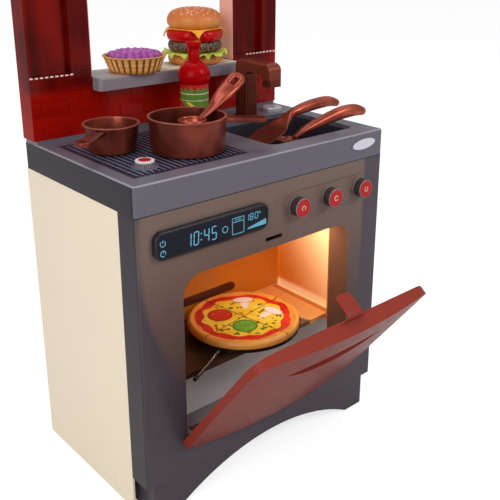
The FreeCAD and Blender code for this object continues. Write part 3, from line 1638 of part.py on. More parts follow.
make_front_panel()
make_side_panel("left_side_panel", -1)
make_side_panel("right_side_panel", 1)
make_back_panel()
make_base_plinth()
make_worktop()
make_hob_plate()
make_sink_basin()
make_display()
make_knob_strip()
for step, name in ((-1, "left"), (0, "middle"), (1, "right")):
    make_knob("oven_knob_" + name, "oven_knob_face_" + name,
              STRIP_X + KNOB_SPACING * step, PANEL_FRONT - S.strip_proud - S.running_gap,
              KNOB_Z, False, S.knob_radius, S.knob_face_share, S.knob_proud,
              S.strip_proud + S.shell_wall * 1.5)
make_knob("hob_knob", "hob_knob_face", HOB_KNOB_X, HOB_KNOB_Y, TOP + S.running_gap, True,
          S.hob_knob_radius, S.hob_knob_face_share, S.hob_knob_height, S.worktop_thickness)
make_oven_liner()
make_oven_shelf()
make_back_rail()
make_lamp_lens()
make_oven_door()
make_door_lining()
make_latch_tongue()
make_hinge_pins()
make_tap()
make_tap_dial()
make_brick_panel()
make_column("left_column", -HALF)
make_column("right_column", WINDOW_HALF)
make_header_panel()
make_window_shelf()
make_pan("small_pan", S.small_pan_side, S.small_pan_y, S.small_pan_rim, S.small_pan_base,
         S.small_pan_height, S.small_handle_length, S.small_handle_angle, ())
make_pan("large_pan", S.large_pan_side, S.large_pan_y, S.large_pan_rim, S.large_pan_base,
         S.large_pan_height, S.large_handle_length, S.large_handle_angle, (-1, 1))
make_ladle()
make_spatula()
make_serving_spoon()
make_pizza_pan()
make_pizza_slices()
make_bottle()
make_tart()
make_burger()
make_panel_screws()
doc.recompute()

# Check every object, then write one STEP file for each sub-part
failed = [t.Label for t in doc.Objects if "Invalid" in t.State or "Error" in t.State]
if failed:
    raise RuntimeError("did not compute: " + ", ".join(failed))

os.makedirs("parts", exist_ok=True)
for part in parts:
    shape = part.Shape
    if shape.isNull() or not shape.isValid():
        raise RuntimeError(part.Label + " has no sound shape")
    shape.exportStep(os.path.join("parts", part.Label + ".step"))
print("wrote %d parts" % len(parts))
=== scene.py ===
"""Toy pizzeria: finishes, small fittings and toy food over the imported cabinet.

Metres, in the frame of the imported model: +X right, +Y back, +Z up, floor at Z = 0.
Surfaces are worked out in millimetres and made metres as their mesh is built.
"""
import json
import math

import bmesh
import bpy
import numpy as np
from mathutils import Matrix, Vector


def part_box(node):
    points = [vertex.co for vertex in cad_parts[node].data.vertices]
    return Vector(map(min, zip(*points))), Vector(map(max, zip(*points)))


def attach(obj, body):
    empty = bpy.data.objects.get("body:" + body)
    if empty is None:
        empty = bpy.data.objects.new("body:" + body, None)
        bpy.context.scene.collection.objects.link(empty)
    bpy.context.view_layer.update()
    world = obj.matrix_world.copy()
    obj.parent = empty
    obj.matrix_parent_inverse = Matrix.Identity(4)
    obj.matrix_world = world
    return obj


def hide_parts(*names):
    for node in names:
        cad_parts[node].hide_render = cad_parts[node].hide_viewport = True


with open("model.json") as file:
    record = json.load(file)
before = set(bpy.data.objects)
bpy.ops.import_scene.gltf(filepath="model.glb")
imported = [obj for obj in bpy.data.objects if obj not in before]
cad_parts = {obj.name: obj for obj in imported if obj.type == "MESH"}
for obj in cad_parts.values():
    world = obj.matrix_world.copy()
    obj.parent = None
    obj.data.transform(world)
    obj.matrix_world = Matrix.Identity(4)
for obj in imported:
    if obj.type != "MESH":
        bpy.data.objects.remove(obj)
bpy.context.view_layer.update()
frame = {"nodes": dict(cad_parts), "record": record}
MM = 0.001
WELD = 2e-6
NEAR_AXIS = 0.01
random = np.random.default_rng(7)
finishes = {}


# Surfaces

def new_object(name, data):
    """An object for the data, put in the scene."""
    thing = bpy.data.objects.new(name, data)
    bpy.context.scene.collection.objects.link(thing)
    return thing


def build_mesh(name, points, faces, body, slot, finish=None, smooth=True):
    """A piece from an (n, 3) array in millimetres and an (m, 3 or 4) array of corners. Its
    finish is the slot's own unless another is given."""
    mesh = bpy.data.meshes.new(name)
    mesh.from_pydata((np.asarray(points, float) * MM).tolist(), [], np.asarray(faces).tolist())
    form = bmesh.new()
    form.from_mesh(mesh)
    bmesh.ops.remove_doubles(form, verts=form.verts, dist=WELD)
    bmesh.ops.recalc_face_normals(form, faces=form.faces)
    form.to_mesh(mesh)
    form.free()
    mesh.validate()
    mesh.polygons.foreach_set("use_smooth", [smooth] * len(mesh.polygons))
    mesh.materials.append(finish or finishes[slot])
    piece = new_object(name, mesh)
    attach(piece, body)
    return piece


def thicken(piece, thickness):
    """Gives a sheet its thickness, half of it to each side."""
    wall = piece.modifiers.new("thickness", "SOLIDIFY")
    wall.thickness, wall.offset = thickness * MM, 0


def grid_faces(rows, columns, closed_rows=False, closed_columns=False):
    """Corners of the quads of a rows by columns grid, wrapped where it is closed."""
    i = np.arange(rows if closed_rows else rows - 1)
    j = np.arange(columns if closed_columns else columns - 1)
    i, j = np.meshgrid(i, j, indexing="ij")
    k, m = (i + 1) % rows, (j + 1) % columns
    quads = (i * columns + j, i * columns + m, k * columns + m, k * columns + j)
    return np.stack(quads, -1).reshape(-1, 4)


def lathe(profile, centre, sides, wobble=None):
    """Points p(s, t) = (r cos t, r sin t, z) about centre, where (r, z) is the profile at s
    and wobble(r, z, t) may move r and z."""
    r, z = np.asarray(profile, float).T
    t = np.linspace(0, 2 * np.pi, sides, endpoint=False)
    r, z, t = (np.broadcast_to(a, (len(profile), sides)).copy()
               for a in (r[:, None], z[:, None], t[None, :]))
    if wobble is not None:
        r, z = wobble(r, z, t)
    grid = np.stack((r * np.cos(t), r * np.sin(t), z), -1) + np.asarray(centre, float)
    return grid.reshape(-1, 3), grid_faces(len(profile), sides, closed_columns=True)


def smooth_rows(points, steps):
    """Catmull-Rom curve through rows of any width, steps to a span:
    p = (2b + (c-a)s + (2a-5b+4c-d)s^2 + (3b-a-3c+d)s^3) / 2."""
    p = np.asarray(points, float)
    p = np.vstack((2 * p[0] - p[1], p, 2 * p[-1] - p[-2]))
    s = np.linspace(0, 1, steps, endpoint=False)[:, None]
    spans = []
    for a, b, c, d in zip(p, p[1:], p[2:], p[3:]):
        spans.append(0.5 * (2 * b + (c - a) * s + (2 * a - 5 * b + 4 * c - d) * s ** 2
                            + (3 * b - a - 3 * c + d) * s ** 3))
    return np.vstack(spans + [p[-2:-1]])


def smooth_profile(points, steps, low, high):
    """A smooth (r, z) profile that never crosses the axis and stays between two levels."""
    out = smooth_rows(points, steps)
    out[:, 0] = np.maximum(out[:, 0], 0)
    out[:, 1] = np.clip(out[:, 1], low, high)
    return out


def unit(vectors):
    """Vectors along the last axis, made one long."""
    return vectors / np.linalg.norm(vectors, axis=-1, keepdims=True)


def run_along(points):
    """The length of a line up to each of its points."""
    return np.concatenate(([0.0], np.cumsum(np.linalg.norm(np.diff(points, axis=0), axis=1))))


def sweep(rows, side, start=4.0, end=4.0, rings=72, sides=28):
    """Closed bar along rows of (x, y, z, wide, deep, power, roll): with c the path, S the side
    turned by the roll and U square to both, p(s, a) = c + k wide/2 [cos a] S + k deep/2 [sin a] U,
    where [v] is sign(v) |v|^(2 / power) and k rounds both ends as a quarter circle does."""
    rows = smooth_rows(rows, 14)
    run = run_along(rows[:, :3])
    u = (1 - np.cos(np.linspace(0, np.pi, rings))) / 2 * run[-1]
    rows = np.stack([np.interp(u, run, column) for column in rows.T], -1)
    near = np.clip(u / start, 0, 1), np.clip((run[-1] - u) / end, 0, 1)
    k = np.sqrt(1 - (1 - near[0]) ** 2) * np.sqrt(1 - (1 - near[1]) ** 2)
    along = unit(np.gradient(rows[:, :3], axis=0))
    side = np.broadcast_to(np.asarray(side, float), along.shape)
    side = unit(side - along * (side * along).sum(1)[:, None])
    up = np.cross(along, side)
    roll = np.radians(rows[:, 6:7])
    side, up = side * np.cos(roll) + up * np.sin(roll), up * np.cos(roll) - side * np.sin(roll)
    a = np.linspace(0, 2 * np.pi, sides, endpoint=False)[None]
    wide, deep, power = (rows[:, i, None] for i in (3, 4, 5))
    across, height = (k[:, None] * size / 2 * np.sign(wave) * np.abs(wave) ** (2 / power)
                      for size, wave in ((wide, np.cos(a)), (deep, np.sin(a))))
    grid = (rows[:, None, :3] + across[..., None] * side[:, None]
            + height[..., None] * up[:, None])
    return grid.reshape(-1, 3), grid_faces(rings, sides, closed_columns=True)


def ellipsoids(centres, radii, turns, rows, columns):
    """Many closed balls at once: p(a, b) = c + R (rx cos a cos b, ry cos a sin b, rz sin a)."""
    a = np.linspace(-np.pi / 2, np.pi / 2, rows)
    b = np.linspace(0, 2 * np.pi, columns, endpoint=False)
    a, b = np.meshgrid(a, b, indexing="ij")
    ball = np.stack((np.cos(a) * np.cos(b), np.cos(a) * np.sin(b), np.sin(a)), -1).reshape(-1, 3)
    balls = ball[None] * np.asarray(radii, float)[:, None, :]
    if turns is not None:
        balls = np.einsum("nij,nkj->nki", turns, balls)
    points = (balls + centres[:, None, :]).reshape(-1, 3)
    firsts = np.arange(len(centres)) * len(ball)
    faces = grid_faces(rows, columns, closed_columns=True)[None] + firsts[:, None, None]
    return points, faces.reshape(-1, 4)


def prism(outline, low, high):
    """A flat piece: the outline (n, 2) in X and Z, between two depths, closed by fans."""
    outline = np.asarray(outline, float)
    n = len(outline)
    rims = [np.insert(outline, 1, y, axis=1) for y in (low, high)]
    hubs = [rim.mean(0, keepdims=True) for rim in rims]
    i = np.arange(n)
    j = (i + 1) % n
    faces = [(i, j, j + n), (i, j + n, i + n), (j, i, np.full(n, 2 * n)),
             (i + n, j + n, np.full(n, 2 * n + 1))]
    return np.vstack(rims + hubs), np.vstack([np.stack(corners, -1) for corners in faces])


def join(pieces):
    """One point array and one face array from several."""
    points, faces = zip(*pieces)
    firsts = np.cumsum([0] + [len(p) for p in points])
    return np.vstack(points), np.vstack([f + first for f, first in zip(faces, firsts)])


def flat_ring(x, z, outer, inner, low, high, start=0.0, end=360.0, steps=28):
    """A flat ring or arc as quads: four rims carried round by the angle."""
    t = np.radians(np.linspace(start, end, steps))[:, None]
    r = np.array([outer, outer, inner, inner])[None]
    y = np.broadcast_to(np.array([low, high, high, low])[None], (steps, 4))
    grid = np.stack((x + r * np.cos(t), y, z + r * np.sin(t)), -1)
    faces = grid_faces(steps, 4, closed_columns=True)
    first = np.arange(4)
    ends = np.stack((first[::-1], first + (steps - 1) * 4))
    return grid.reshape(-1, 3), np.vstack((faces, ends))


# Finishes

def wire(tree, socket, value):
    """Feeds a socket from another one, or with a value."""
    if isinstance(value, bpy.types.NodeSocket):
        tree.links.new(value, socket)
    else:
        socket.default_value = value


def maths(tree, kind, *values):
    """A math node on sockets or numbers."""
    node = tree.nodes.new("ShaderNodeMath")
    node.operation = kind
    for socket, value in zip(node.inputs, values):
        wire(tree, socket, value)
    return node.outputs[0]


class Finish:
    """A node material: the shader, and short ways to the textures that feed it. Colours are
    written 0 to 255 as shown, and one that a recipe works out later isn't given at first."""
    CLOUD_SCALE, CLOUD_DETAIL = 14.0, 4.0
    SMEAR_SCALE, SMEAR_DETAIL = 56.0, 3.0
    GRAIN_STRENGTH = 0.25

    def __init__(self, name, rough, specular=0.5, colour=None, **sockets):
        self.name, self.rough = name, rough
        self.mat = bpy.data.materials.new(name)
        self.mat.use_nodes = True
        self.tree = self.mat.node_tree
        self.shader = self.tree.nodes["Principled BSDF"]
        self.place = self.tree.nodes.new("ShaderNodeTexCoord").outputs["Object"]
        self.colour = colour and self.linear(colour)
        for socket, value in {"Specular_IOR_Level": specular, **sockets}.items():
            self.shader.inputs[socket.replace("_", " ")].default_value = value

    def linear(self, colour):
        """A colour as shown, made linear."""
        c = np.asarray(colour, float) / 255
        lin = np.where(c <= 0.04045, c / 12.92, ((c + 0.055) / 1.055) ** 2.4)
        return (*lin.tolist(), 1.0)

    def feed(self, node, socket, value):
        """Feeds a node's socket, from a colour too."""
        if isinstance(value, tuple) and len(value) == 3:
            value = self.linear(value)
        wire(self.tree, node.inputs[socket], value)

    def node(self, kind, **sockets):
        """A node of a kind, its sockets fed by name."""
        node = self.tree.nodes.new("ShaderNode" + kind)
        for socket, value in sockets.items():
            self.feed(node, socket.replace("_", " "), value)
        return node

    def calc(self, kind, *values):
        """A math node in this material."""
        return maths(self.tree, kind, *values)

    def times(self, a, b):
        return self.calc("MULTIPLY", a, b)

    def plus(self, a, b):
        return self.calc("ADD", a, b)

    def minus(self, a, b):
        return self.calc("SUBTRACT", a, b)

    def most(self, a, b):
        return self.calc("MAXIMUM", a, b)

    def length(self, u, v):
        """sqrt(u^2 + v^2)."""
        return self.calc("SQRT", self.plus(self.times(u, u), self.times(v, v)))

    def oval(self, u, v, wide, tall):
        """(u / wide)^2 + (v / tall)^2."""
        return self.plus(self.calc("POWER", self.calc("DIVIDE", u, wide), 2.0),
                         self.calc("POWER", self.calc("DIVIDE", v, tall), 2.0))

    def turned(self, x, y, angle):
        """The parts of (x, y) along and across a line at an angle."""
        c, w = math.cos(angle), math.sin(angle)
        return (self.plus(self.times(x, c), self.times(y, w)),
                self.minus(self.times(y, c), self.times(x, w)))

    def mix(self, share, first, second):
        node = self.node("Mix")
        node.data_type = "RGBA"
        for socket, value in ((0, share), (6, first), (7, second)):
            self.feed(node, socket, value)
        return node.outputs[2]

    def noise(self, scale, detail, stretch=None):
        place = self.place if stretch is None else self.moved(scale=stretch)
        return self.node("TexNoise", Vector=place, Scale=scale, Detail=detail).outputs["Fac"]

    def moved(self, shift=(0, 0, 0), turn=(0, 0, 0), scale=(1, 1, 1)):
        node = self.node("Mapping", Vector=self.place)
        for socket, value in (("Location", shift), ("Rotation", turn), ("Scale", scale)):
            node.inputs[socket].default_value = value
        return node.outputs[0]

    def split(self, vector=None):
        return self.node("SeparateXYZ", Vector=vector or self.place).outputs

    def spread(self, value, low, high):
        """low at 0 and high at 1."""
        return self.ranged(value, 0.0, 1.0, low, high).outputs[0]

    def step(self, value, start, end):
        """0 before start and 1 past end, smooth between."""
        node = self.ranged(value, start, end, 0.0, 1.0)
        node.interpolation_type = "SMOOTHSTEP"
        return node.outputs[0]

    def ranged(self, *numbers):
        node = self.node("MapRange")
        for i, number in enumerate(numbers):
            self.feed(node, i, number)
        return node

    def band(self, value, low, high, soft):
        """1 between low and high, 0 outside, with soft edges inside both."""
        return self.times(self.step(value, low, low + soft), self.step(value, high, high - soft))

    def glow(self, strength):
        """Lets the finish's colour shine a little by itself."""
        self.feed(self.shader, "Emission Color", self.colour)
        self.feed(self.shader, "Emission Strength", strength)

    def done(self, grain=900.0, depth=0.00004, mottle=0.06):
        """Ends the graph: cloudy colour, uneven gloss and a fine moulded grain."""
        cloud = self.noise(self.CLOUD_SCALE, self.CLOUD_DETAIL)
        darker = self.node("HueSaturation", Color=self.colour,
                           Value=self.spread(cloud, 1 - mottle * 2, 1 + mottle * 2))
        smear = self.noise(self.SMEAR_SCALE, self.SMEAR_DETAIL)
        low, high = max(self.rough - 0.06, 0.02), min(self.rough + 0.08, 1.0)
        bump = self.node("Bump", Strength=self.GRAIN_STRENGTH, Distance=depth,
                         Height=self.noise(grain, 2.0))
        self.feed(self.shader, "Base Color", darker.outputs[0])
        self.feed(self.shader, "Roughness", self.spread(smear, low, high))
        self.feed(self.shader, "Normal", bump.outputs[0])
        finishes[self.name] = self.mat
        return self.mat


def smoky_shell():
    """Smoky shell: brown over the face where the lit lining's glow is painted through it, darker
    towards the bottom, and violet-grey at its edges where no glow is painted; painted shade on
    its left side, a painted shadow line in the seam under the worktop, painted shade in the
    opening's reveal and light on the reveal's floor. The painted inner shadow at the left edge
    bends in with the height under the top."""
    f = Finish("smoky_shell", 0.3, 0.3)
    x, y, z = f.split()
    # warm and deep: brown of the lining's glow painted through the shell; cool: plain violet-grey
    warm, deep, cool = (122, 101, 92), (78, 62, 62), (76, 68, 78)
    # painted inner shadow at the left, its edge bending in lower down
    drop = f.minus(0.42, z)
    bend = f.times(f.times(drop, drop), 1.35)
    left = f.step(f.minus(f.plus(x, 0.24), bend), 0.012, -0.004)
    # where no glow is painted: the right strip, the left inner shadow and the bottom
    edge = f.most(f.most(f.step(x, 0.192, 0.204), left), f.step(z, 0.112, 0.094))
    shade = f.mix(f.step(z, 0.45, 0.16), warm, deep)
    face = f.mix(f.times(edge, 0.9), shade, cool)
    # painted shade on the left side face
    face = f.mix(f.step(x, -0.2378, -0.2388), face, (52, 46, 52))
    # painted shadow in the seam under the worktop's skirt
    face = f.mix(f.step(z, 0.4700, 0.4706), face, (22, 19, 22))
    # painted shade in the opening's reveal; light grey on its floor
    inward = f.times(f.step(y, -0.1472, -0.1455),
                     f.step(f.calc("ABSOLUTE", x), 0.1702, 0.1692))
    reveal = f.mix(f.step(z, 0.1205, 0.1185), (110, 76, 60), (150, 146, 146))
    f.colour = f.mix(inward, face, reveal)
    f.done(700.0, 0.00003, 0.03)


def slate_plastic():
    """Slate moulding: painted shade on its left side, a painted highlight along the worktop's
    front and left top edges, and darker round the plinth."""
    f = Finish("slate_plastic", 0.3, 0.3)
    x, y, z = f.split()
    # painted shade on the left side
    f.colour = f.mix(f.step(x, -0.2382, -0.2396), (106, 101, 112), (44, 38, 44))
    # painted highlight along the worktop's front and left top edges
    edge = f.most(f.step(x, -0.2350, -0.2375), f.step(y, -0.1455, -0.1480))
    edge = f.times(edge, f.step(z, 0.5120, 0.5135))
    f.colour = f.mix(edge, f.colour, (150, 148, 158))
    f.colour = f.mix(f.step(z, 0.0578, 0.0566), f.colour, (74, 66, 72))
    f.done(1300.0, 0.00005, 0.03)


def hob_slate():
    """Dark plate with painted light on its rib tops."""
    f = Finish("hob_slate", 0.3)
    # painted light: the rib tops lighter where light catches them
    lit_rib_top = f.step(f.split()[2], 0.5132, 0.5138)
    f.colour = f.mix(lit_rib_top, (36, 34, 50), (108, 104, 126))
    f.done(mottle=0.05)


def white_knob():
    """White top on a metal-grey skirt with upright flutes, painted as light ridges and
    shaded grooves.
    """
    f = Finish("white_knob", 0.28)
    x, y, z = f.split(f.moved(shift=(0.177, 0.082, 0)))
    flute = f.calc("PINGPONG", f.calc("ARCTAN2", y, x), 0.09)
    # painted light and shade: light flute ridges, shaded grooves
    skirt = f.mix(f.step(flute, 0.03, 0.06), (74, 70, 74), (150, 144, 146))
    f.colour = f.mix(f.step(z, 0.5205, 0.5215), skirt, (226, 218, 220))
    f.done(900.0, 0.00003, 0.03)


def brick_red():
    """See-through red moulding: bricks of uneven depth below, upright streaks above, orange
    backlight glow painted in patches, pale backlight painted on the window's sides, painted
    highlight dashes along the niche's lower edge, and a faint painted glow over all."""
    f = Finish("brick_red", 0.14, 0.12, Coat_Weight=0.1, Coat_Roughness=0.06)
    x, y, z = f.split()
    bricks = f.node("TexBrick", Vector=f.moved(turn=(math.radians(-90), 0, 0)), Scale=1.0,
                    Brick_Width=0.044, Row_Height=0.019, Mortar_Size=0.0, Color1=(116, 11, 5),
                    Color2=(66, 3, 2)).outputs["Color"]
    streak = f.step(f.noise(1.0, 2.0, stretch=(46.0, 46.0, 3.0)), 0.36, 0.66)
    face = f.mix(f.step(z, 0.584, 0.588), bricks, f.mix(streak, (74, 3, 2), (102, 8, 3)))
    # painted backlight glow in orange patches, more of it low down
    share = f.plus(f.times(f.step(z, 0.62, 0.58), 0.55), 0.25)
    face = f.mix(f.times(f.step(f.noise(9.0, 2.0), 0.5, 0.72), share), face, (176, 26, 8))
    face = f.mix(f.times(f.step(z, 0.600, 0.580), 0.6), face, (158, 14, 4))
    far = f.calc("ABSOLUTE", x)
    # painted pale backlight on the inner faces beside the window
    inner = f.times(f.step(far, 0.1392, 0.1384), f.step(z, 0.6035, 0.6055))
    face = f.mix(f.times(inner, f.step(z, 0.845, 0.842)), face, (236, 178, 162))
    # painted highlight dashes along the niche floor's front edge
    glint_dash = f.times(f.step(f.calc("PINGPONG", x, 0.004), 0.0010, 0.0022),
                   f.band(z, 0.6095, 0.6132, 0.001))
    on_niche = f.times(f.step(y, 0.1166, 0.1158), f.step(far, 0.166, 0.172))
    f.colour = f.mix(f.times(glint_dash, on_niche), face, (240, 206, 196))
    # painted glow: the red shines by itself as if lit from behind
    f.glow(0.08)
    f.done(300.0, 0.0001, 0.08)


def shelf_grey():
    """Grey shelf, cream on top where light falls through the window."""
    f = Finish("shelf_grey", 0.36)
    x, y, z = f.split()
    top = f.mix(f.step(x, -0.13, -0.06), (150, 148, 152), (232, 220, 196))
    f.colour = f.mix(f.step(z, 0.6036, 0.6039), (134, 122, 130), top)
    f.done(1200.0, mottle=0.03)


def copper(name, bright, deep, rough, rim=None):
    """Brown metal-look moulding, a little uneven in depth, with a painted highlight line along
    a rim.
    """
    f = Finish(name, rough, 0.3, Metallic=0.6)
    f.colour = f.mix(f.step(f.noise(16.0, 2.0), 0.35, 0.7), deep, bright)
    if rim is not None:
        # painted highlight line along the rim
        f.colour = f.mix(f.step(f.split()[2], rim - 0.0014, rim - 0.0004), f.colour,
                         (186, 106, 84))
    return f.done(900.0, 0.00003, 0.04)


def fluted_tap():
    """Dark brown moulding with upright flutes, painted as shaded grooves and light ridges; the
    head above takes the lighter brown.
    """
    f = Finish("fluted_tap", 0.28, 0.3, Metallic=0.45)
    x, y, z = f.split()
    flute = f.calc("PINGPONG", f.plus(x, y), 0.0022)
    flute = f.most(f.step(flute, 0.0008, 0.0018), f.step(z, 0.584, 0.590))
    # painted shade in the flute grooves, lighter brown on the ridges and head
    f.colour = f.mix(flute, (74, 28, 20), (132, 60, 44))
    return f.done(900.0, 0.00003, 0.03)


PIZZA = (0.021, -0.053)
TOP_LOW, TOP_HIGH = 0.2045, 0.2062
SAUCE_START, SAUCE_END = 0.0665, 0.0795
CUT_ANGLES = (9.0, 99.0)


def pizza_crust():
    """Tan crust, a wavy band of sauce, cheese with herbs, and four toppings by distance from
    their middles; r is the distance from the pizza's centre, t the angle round it."""
    f = Finish("pizza_crust", 0.34, 0.4, Coat_Weight=0.2)
    x, y, z = f.split(f.moved(shift=(-PIZZA[0], -PIZZA[1], 0)))
    r, t = f.length(x, y), f.calc("ARCTAN2", y, x)
    soft = f.times(f.minus(f.noise(40.0, 2.0), 0.5), 0.012)
    inner, outer = (f.plus(f.plus(r, f.times(f.calc("SINE", f.times(t, lobes)), depth)), soft)
                    for lobes, depth in ((11.0, 0.0026), (7.0, 0.0016)))
    crust = f.mix(f.noise(45.0, 3.0), (224, 140, 50), (246, 180, 88))
    crust = f.mix(f.step(z, 0.202, 0.195), crust, (206, 124, 50))
    cheese = f.mix(f.step(f.noise(30.0, 2.0), 0.4, 0.62), (244, 204, 48), (252, 226, 84))
    sauce = f.mix(f.step(f.noise(40.0, 2.0), 0.4, 0.65), (204, 10, 10), (226, 40, 30))
    face = f.mix(f.step(inner, SAUCE_START, SAUCE_START + 0.001), cheese, sauce)
    face = f.mix(f.step(outer, SAUCE_END, SAUCE_END + 0.001), face, crust)
    on_cheese = f.step(inner, 0.064, 0.062)
    for scale, edge, colour in ((118.0, 0.69, (74, 128, 36)), (96.0, 0.70, (150, 64, 30))):
        herb = f.step(f.noise(scale, 0.0), edge, edge + 0.012)
        face = f.mix(f.times(herb, on_cheese), face, colour)
    for cx, cy, size, rim, core, dots in (
            (-0.0275, 0.0290, 0.0215, (168, 14, 16), (204, 30, 26), (236, 120, 96)),
            (-0.0195, -0.0265, 0.0212, (58, 132, 38), (104, 176, 62), (206, 230, 160))):
        d = f.length(f.minus(x, cx), f.minus(y, cy))
        disc = f.mix(f.step(d, size * 0.80, size * 0.88), core, rim)
        cells = f.node("TexVoronoi", Vector=f.place, Scale=190.0).outputs["Distance"]
        seeds = f.times(f.step(cells, 0.26, 0.2),
                        f.band(d, size * 0.22, size * 0.78, size * 0.12))
        disc = f.mix(seeds, disc, dots)
        face = f.mix(f.step(d, size, size * 0.965), face, disc)
    for cx, cy, way in ((0.0385, 0.0470, -122.0), (0.0510, -0.0170, -172.0)):
        u, v = f.turned(f.minus(x, cx), f.minus(y, cy), math.radians(way))
        cap = f.oval(u, v, 0.0105, 0.0205)
        stem = f.oval(f.minus(u, 0.018), v, 0.0155, 0.0072)
        shape = f.calc("MINIMUM", cap, stem)
        pale = f.mix(f.step(shape, 0.5, 0.9), (255, 246, 240), (246, 216, 204))
        pale = f.mix(f.band(cap, 0.72, 1.02, 0.08), pale, (206, 142, 124))
        face = f.mix(f.step(shape, 1.0, 0.94), face, pale)
    # painted shadow in the cuts between the slices
    for way in CUT_ANGLES:
        off = f.turned(x, y, math.radians(way))[1]
        cut_shadow = f.step(f.calc("ABSOLUTE", off), 0.00110, 0.00060)
        face = f.mix(cut_shadow, face, (92, 40, 16))
    f.colour = f.mix(f.step(z, TOP_LOW, TOP_HIGH), crust, face)
    f.done(240.0, 0.0003, 0.03)


BOTTLE = (0.01344, 0.060, 0.5143)
BOTTLE_RADIUS = 0.0228
FACING = 2.206


def label_print():
    """Wrapped print: a green field with a zigzag upper edge, two thin cream lines and two
    slanting bands; s is the distance round the bottle from its front and z the height on it."""
    f = Finish("label_print", 0.3, 0.4)
    x, y, z = f.split(f.moved(shift=[-b for b in BOTTLE]))
    u, v = f.turned(x, y, -FACING)
    s = f.times(f.calc("ARCTAN2", v, u), BOTTLE_RADIUS)
    edge = f.plus(0.0605, f.times(f.calc("PINGPONG", s, 0.0052), 1.35))
    field = f.mix(f.step(z, 0.012, 0.048), (150, 150, 50), (92, 124, 46))
    slant = f.plus(z, f.times(s, 0.85))
    for low, high, colour in ((0.0300, 0.0375, (226, 200, 60)), (0.0130, 0.0225, (188, 32, 28))):
        stripe = f.times(f.band(slant, low, high, 0.0008), f.step(z, 0.044, 0.043))
        field = f.mix(stripe, field, colour)
    for low, high in ((0.0557, 0.0573), (0.0452, 0.0465)):
        field = f.mix(f.band(z, low, high, 0.0003), field, (226, 222, 176))
    f.colour = f.mix(f.step(f.minus(z, edge), -0.0002, 0.0002), field, (186, 18, 24))
    f.done(500.0, 0.00003, 0.04)


def oven_lining():
    """Warm lining with painted lamp light: a painted pool of pale yellow light at the right wall's
    upper front, fading to orange behind; orange on the back wall, darker upwards in painted
    shade; pale painted light along the low ledge; grey and glossy on the floor; and a painted
    glow over all."""
    f = Finish("oven_lining", 0.32, 0.35)
    x, y, z = f.split()
    # painted pool of lamp light: pale at the right wall's upper front, orange further back
    near = f.step(f.plus(y, f.times(z, -0.8)), -0.126, -0.376)
    right = f.step(x, 0.186, 0.191)
    wall = f.mix(near, (206, 110, 30), (250, 222, 170))
    # painted shade: back and left walls darker upwards
    back = f.mix(f.step(z, 0.19, 0.33), (196, 112, 32), (146, 74, 16))
    warm = f.mix(right, back, wall)
    # painted lamp light: pale low on the right wall and along the ledge
    ledge = f.times(f.step(z, 0.1812, 0.1808), f.step(z, 0.1795, 0.1805))
    warm = f.mix(f.times(f.step(z, 0.196, 0.186), right), warm, (240, 200, 150))
    warm = f.mix(ledge, warm, (240, 196, 146))
    floor = f.step(z, 0.172, 0.160)
    f.colour = f.mix(floor, warm, (176, 170, 168))
    # painted glow: the lining shines by itself, most on the right wall, then the floor
    lit = f.mix(right, (96, 96, 96), f.spread(near, 0.30, 0.36))
    f.glow(f.mix(floor, lit, (120, 120, 120)))
    f.done(500.0, mottle=0.04)


def smoky_knob():
    """Smoky moulding with painted highlight lines round the knob's flange and front edge."""
    f = Finish("smoky_knob", 0.22, 0.45)
    y = f.split()[1]
    # painted highlight lines on the flange edge and the front rim
    line = f.most(f.band(y, -0.1546, -0.1524, 0.0004), f.step(y, -0.1664, -0.1668))
    f.colour = f.mix(line, (60, 50, 48), (138, 128, 124))
    f.done(900.0, 0.00003, 0.03)


def oven_shelf_brown():
    """Brown shelf, darker towards the left in painted shade, and pale where the lamp's light is
    painted on its right end.
    """
    f = Finish("shelf_taupe", 0.3, 0.3)
    x, y, z = f.split()
    lit = f.step(f.plus(x, f.times(y, 0.37)), 0.088, 0.096)
    # painted shade: darker towards the left, away from the lamp
    brown = f.mix(f.step(x, -0.12, 0.06), (70, 46, 36), (124, 88, 62))
    f.colour = f.mix(lit, brown, (238, 176, 110))
    f.done(mottle=0.03)


TART = (-0.0588, 0.120)
FLUTES = 26


def tart_pastry():
    """Baked crust, painted shade in the grooves between its flutes, and golden on the rim."""
    f = Finish("pastry", 0.42, 0.35)
    x, y, z = f.split(f.moved(shift=(-TART[0], -TART[1], 0)))
    turn = f.calc("ARCTAN2", y, x)
    # painted shade in the grooves between the flutes
    groove_shade = f.step(f.calc("COSINE", f.times(turn, float(FLUTES))), 0.1, -0.95)
    side = f.mix(groove_shade, (232, 172, 100), (122, 62, 20))
    side = f.mix(f.step(z, 0.612, 0.604), side, (150, 88, 36))
    f.colour = f.mix(f.step(z, 0.6270, 0.6290), side, (222, 160, 90))
    f.done(320.0, 0.0003)


def bun_tan():
    """Bread: pale at the low edge, browned above, with fine pores."""
    pale, dark = (226, 142, 62), (196, 98, 34)
    f = Finish("bun_tan", 0.5, Coat_Weight=0.12)
    f.colour = f.mix(f.step(f.split()[2], 0.668, 0.694), pale, dark)
    f.colour = f.mix(f.times(f.step(f.noise(50.0, 4.0), 0.45, 0.7), 0.5), f.colour, dark)
    f.done(320.0, 0.0003)


def patty_brown():
    """Dark mince with light crumbs."""
    f = Finish("patty_brown", 0.35)
    f.colour = f.mix(f.step(f.noise(520.0, 2.0), 0.50, 0.62), (40, 22, 16), (176, 128, 92))
    f.done(260.0, 0.0008, 0.1)


def leaf_green():
    """Lettuce in two cloudy greens."""
    f = Finish("leaf_green", 0.4, Coat_Weight=0.2)
    f.colour = f.mix(f.noise(80.0, 3.0), (138, 170, 20), (236, 232, 96))
    f.done(300.0, 0.0002, 0.08)


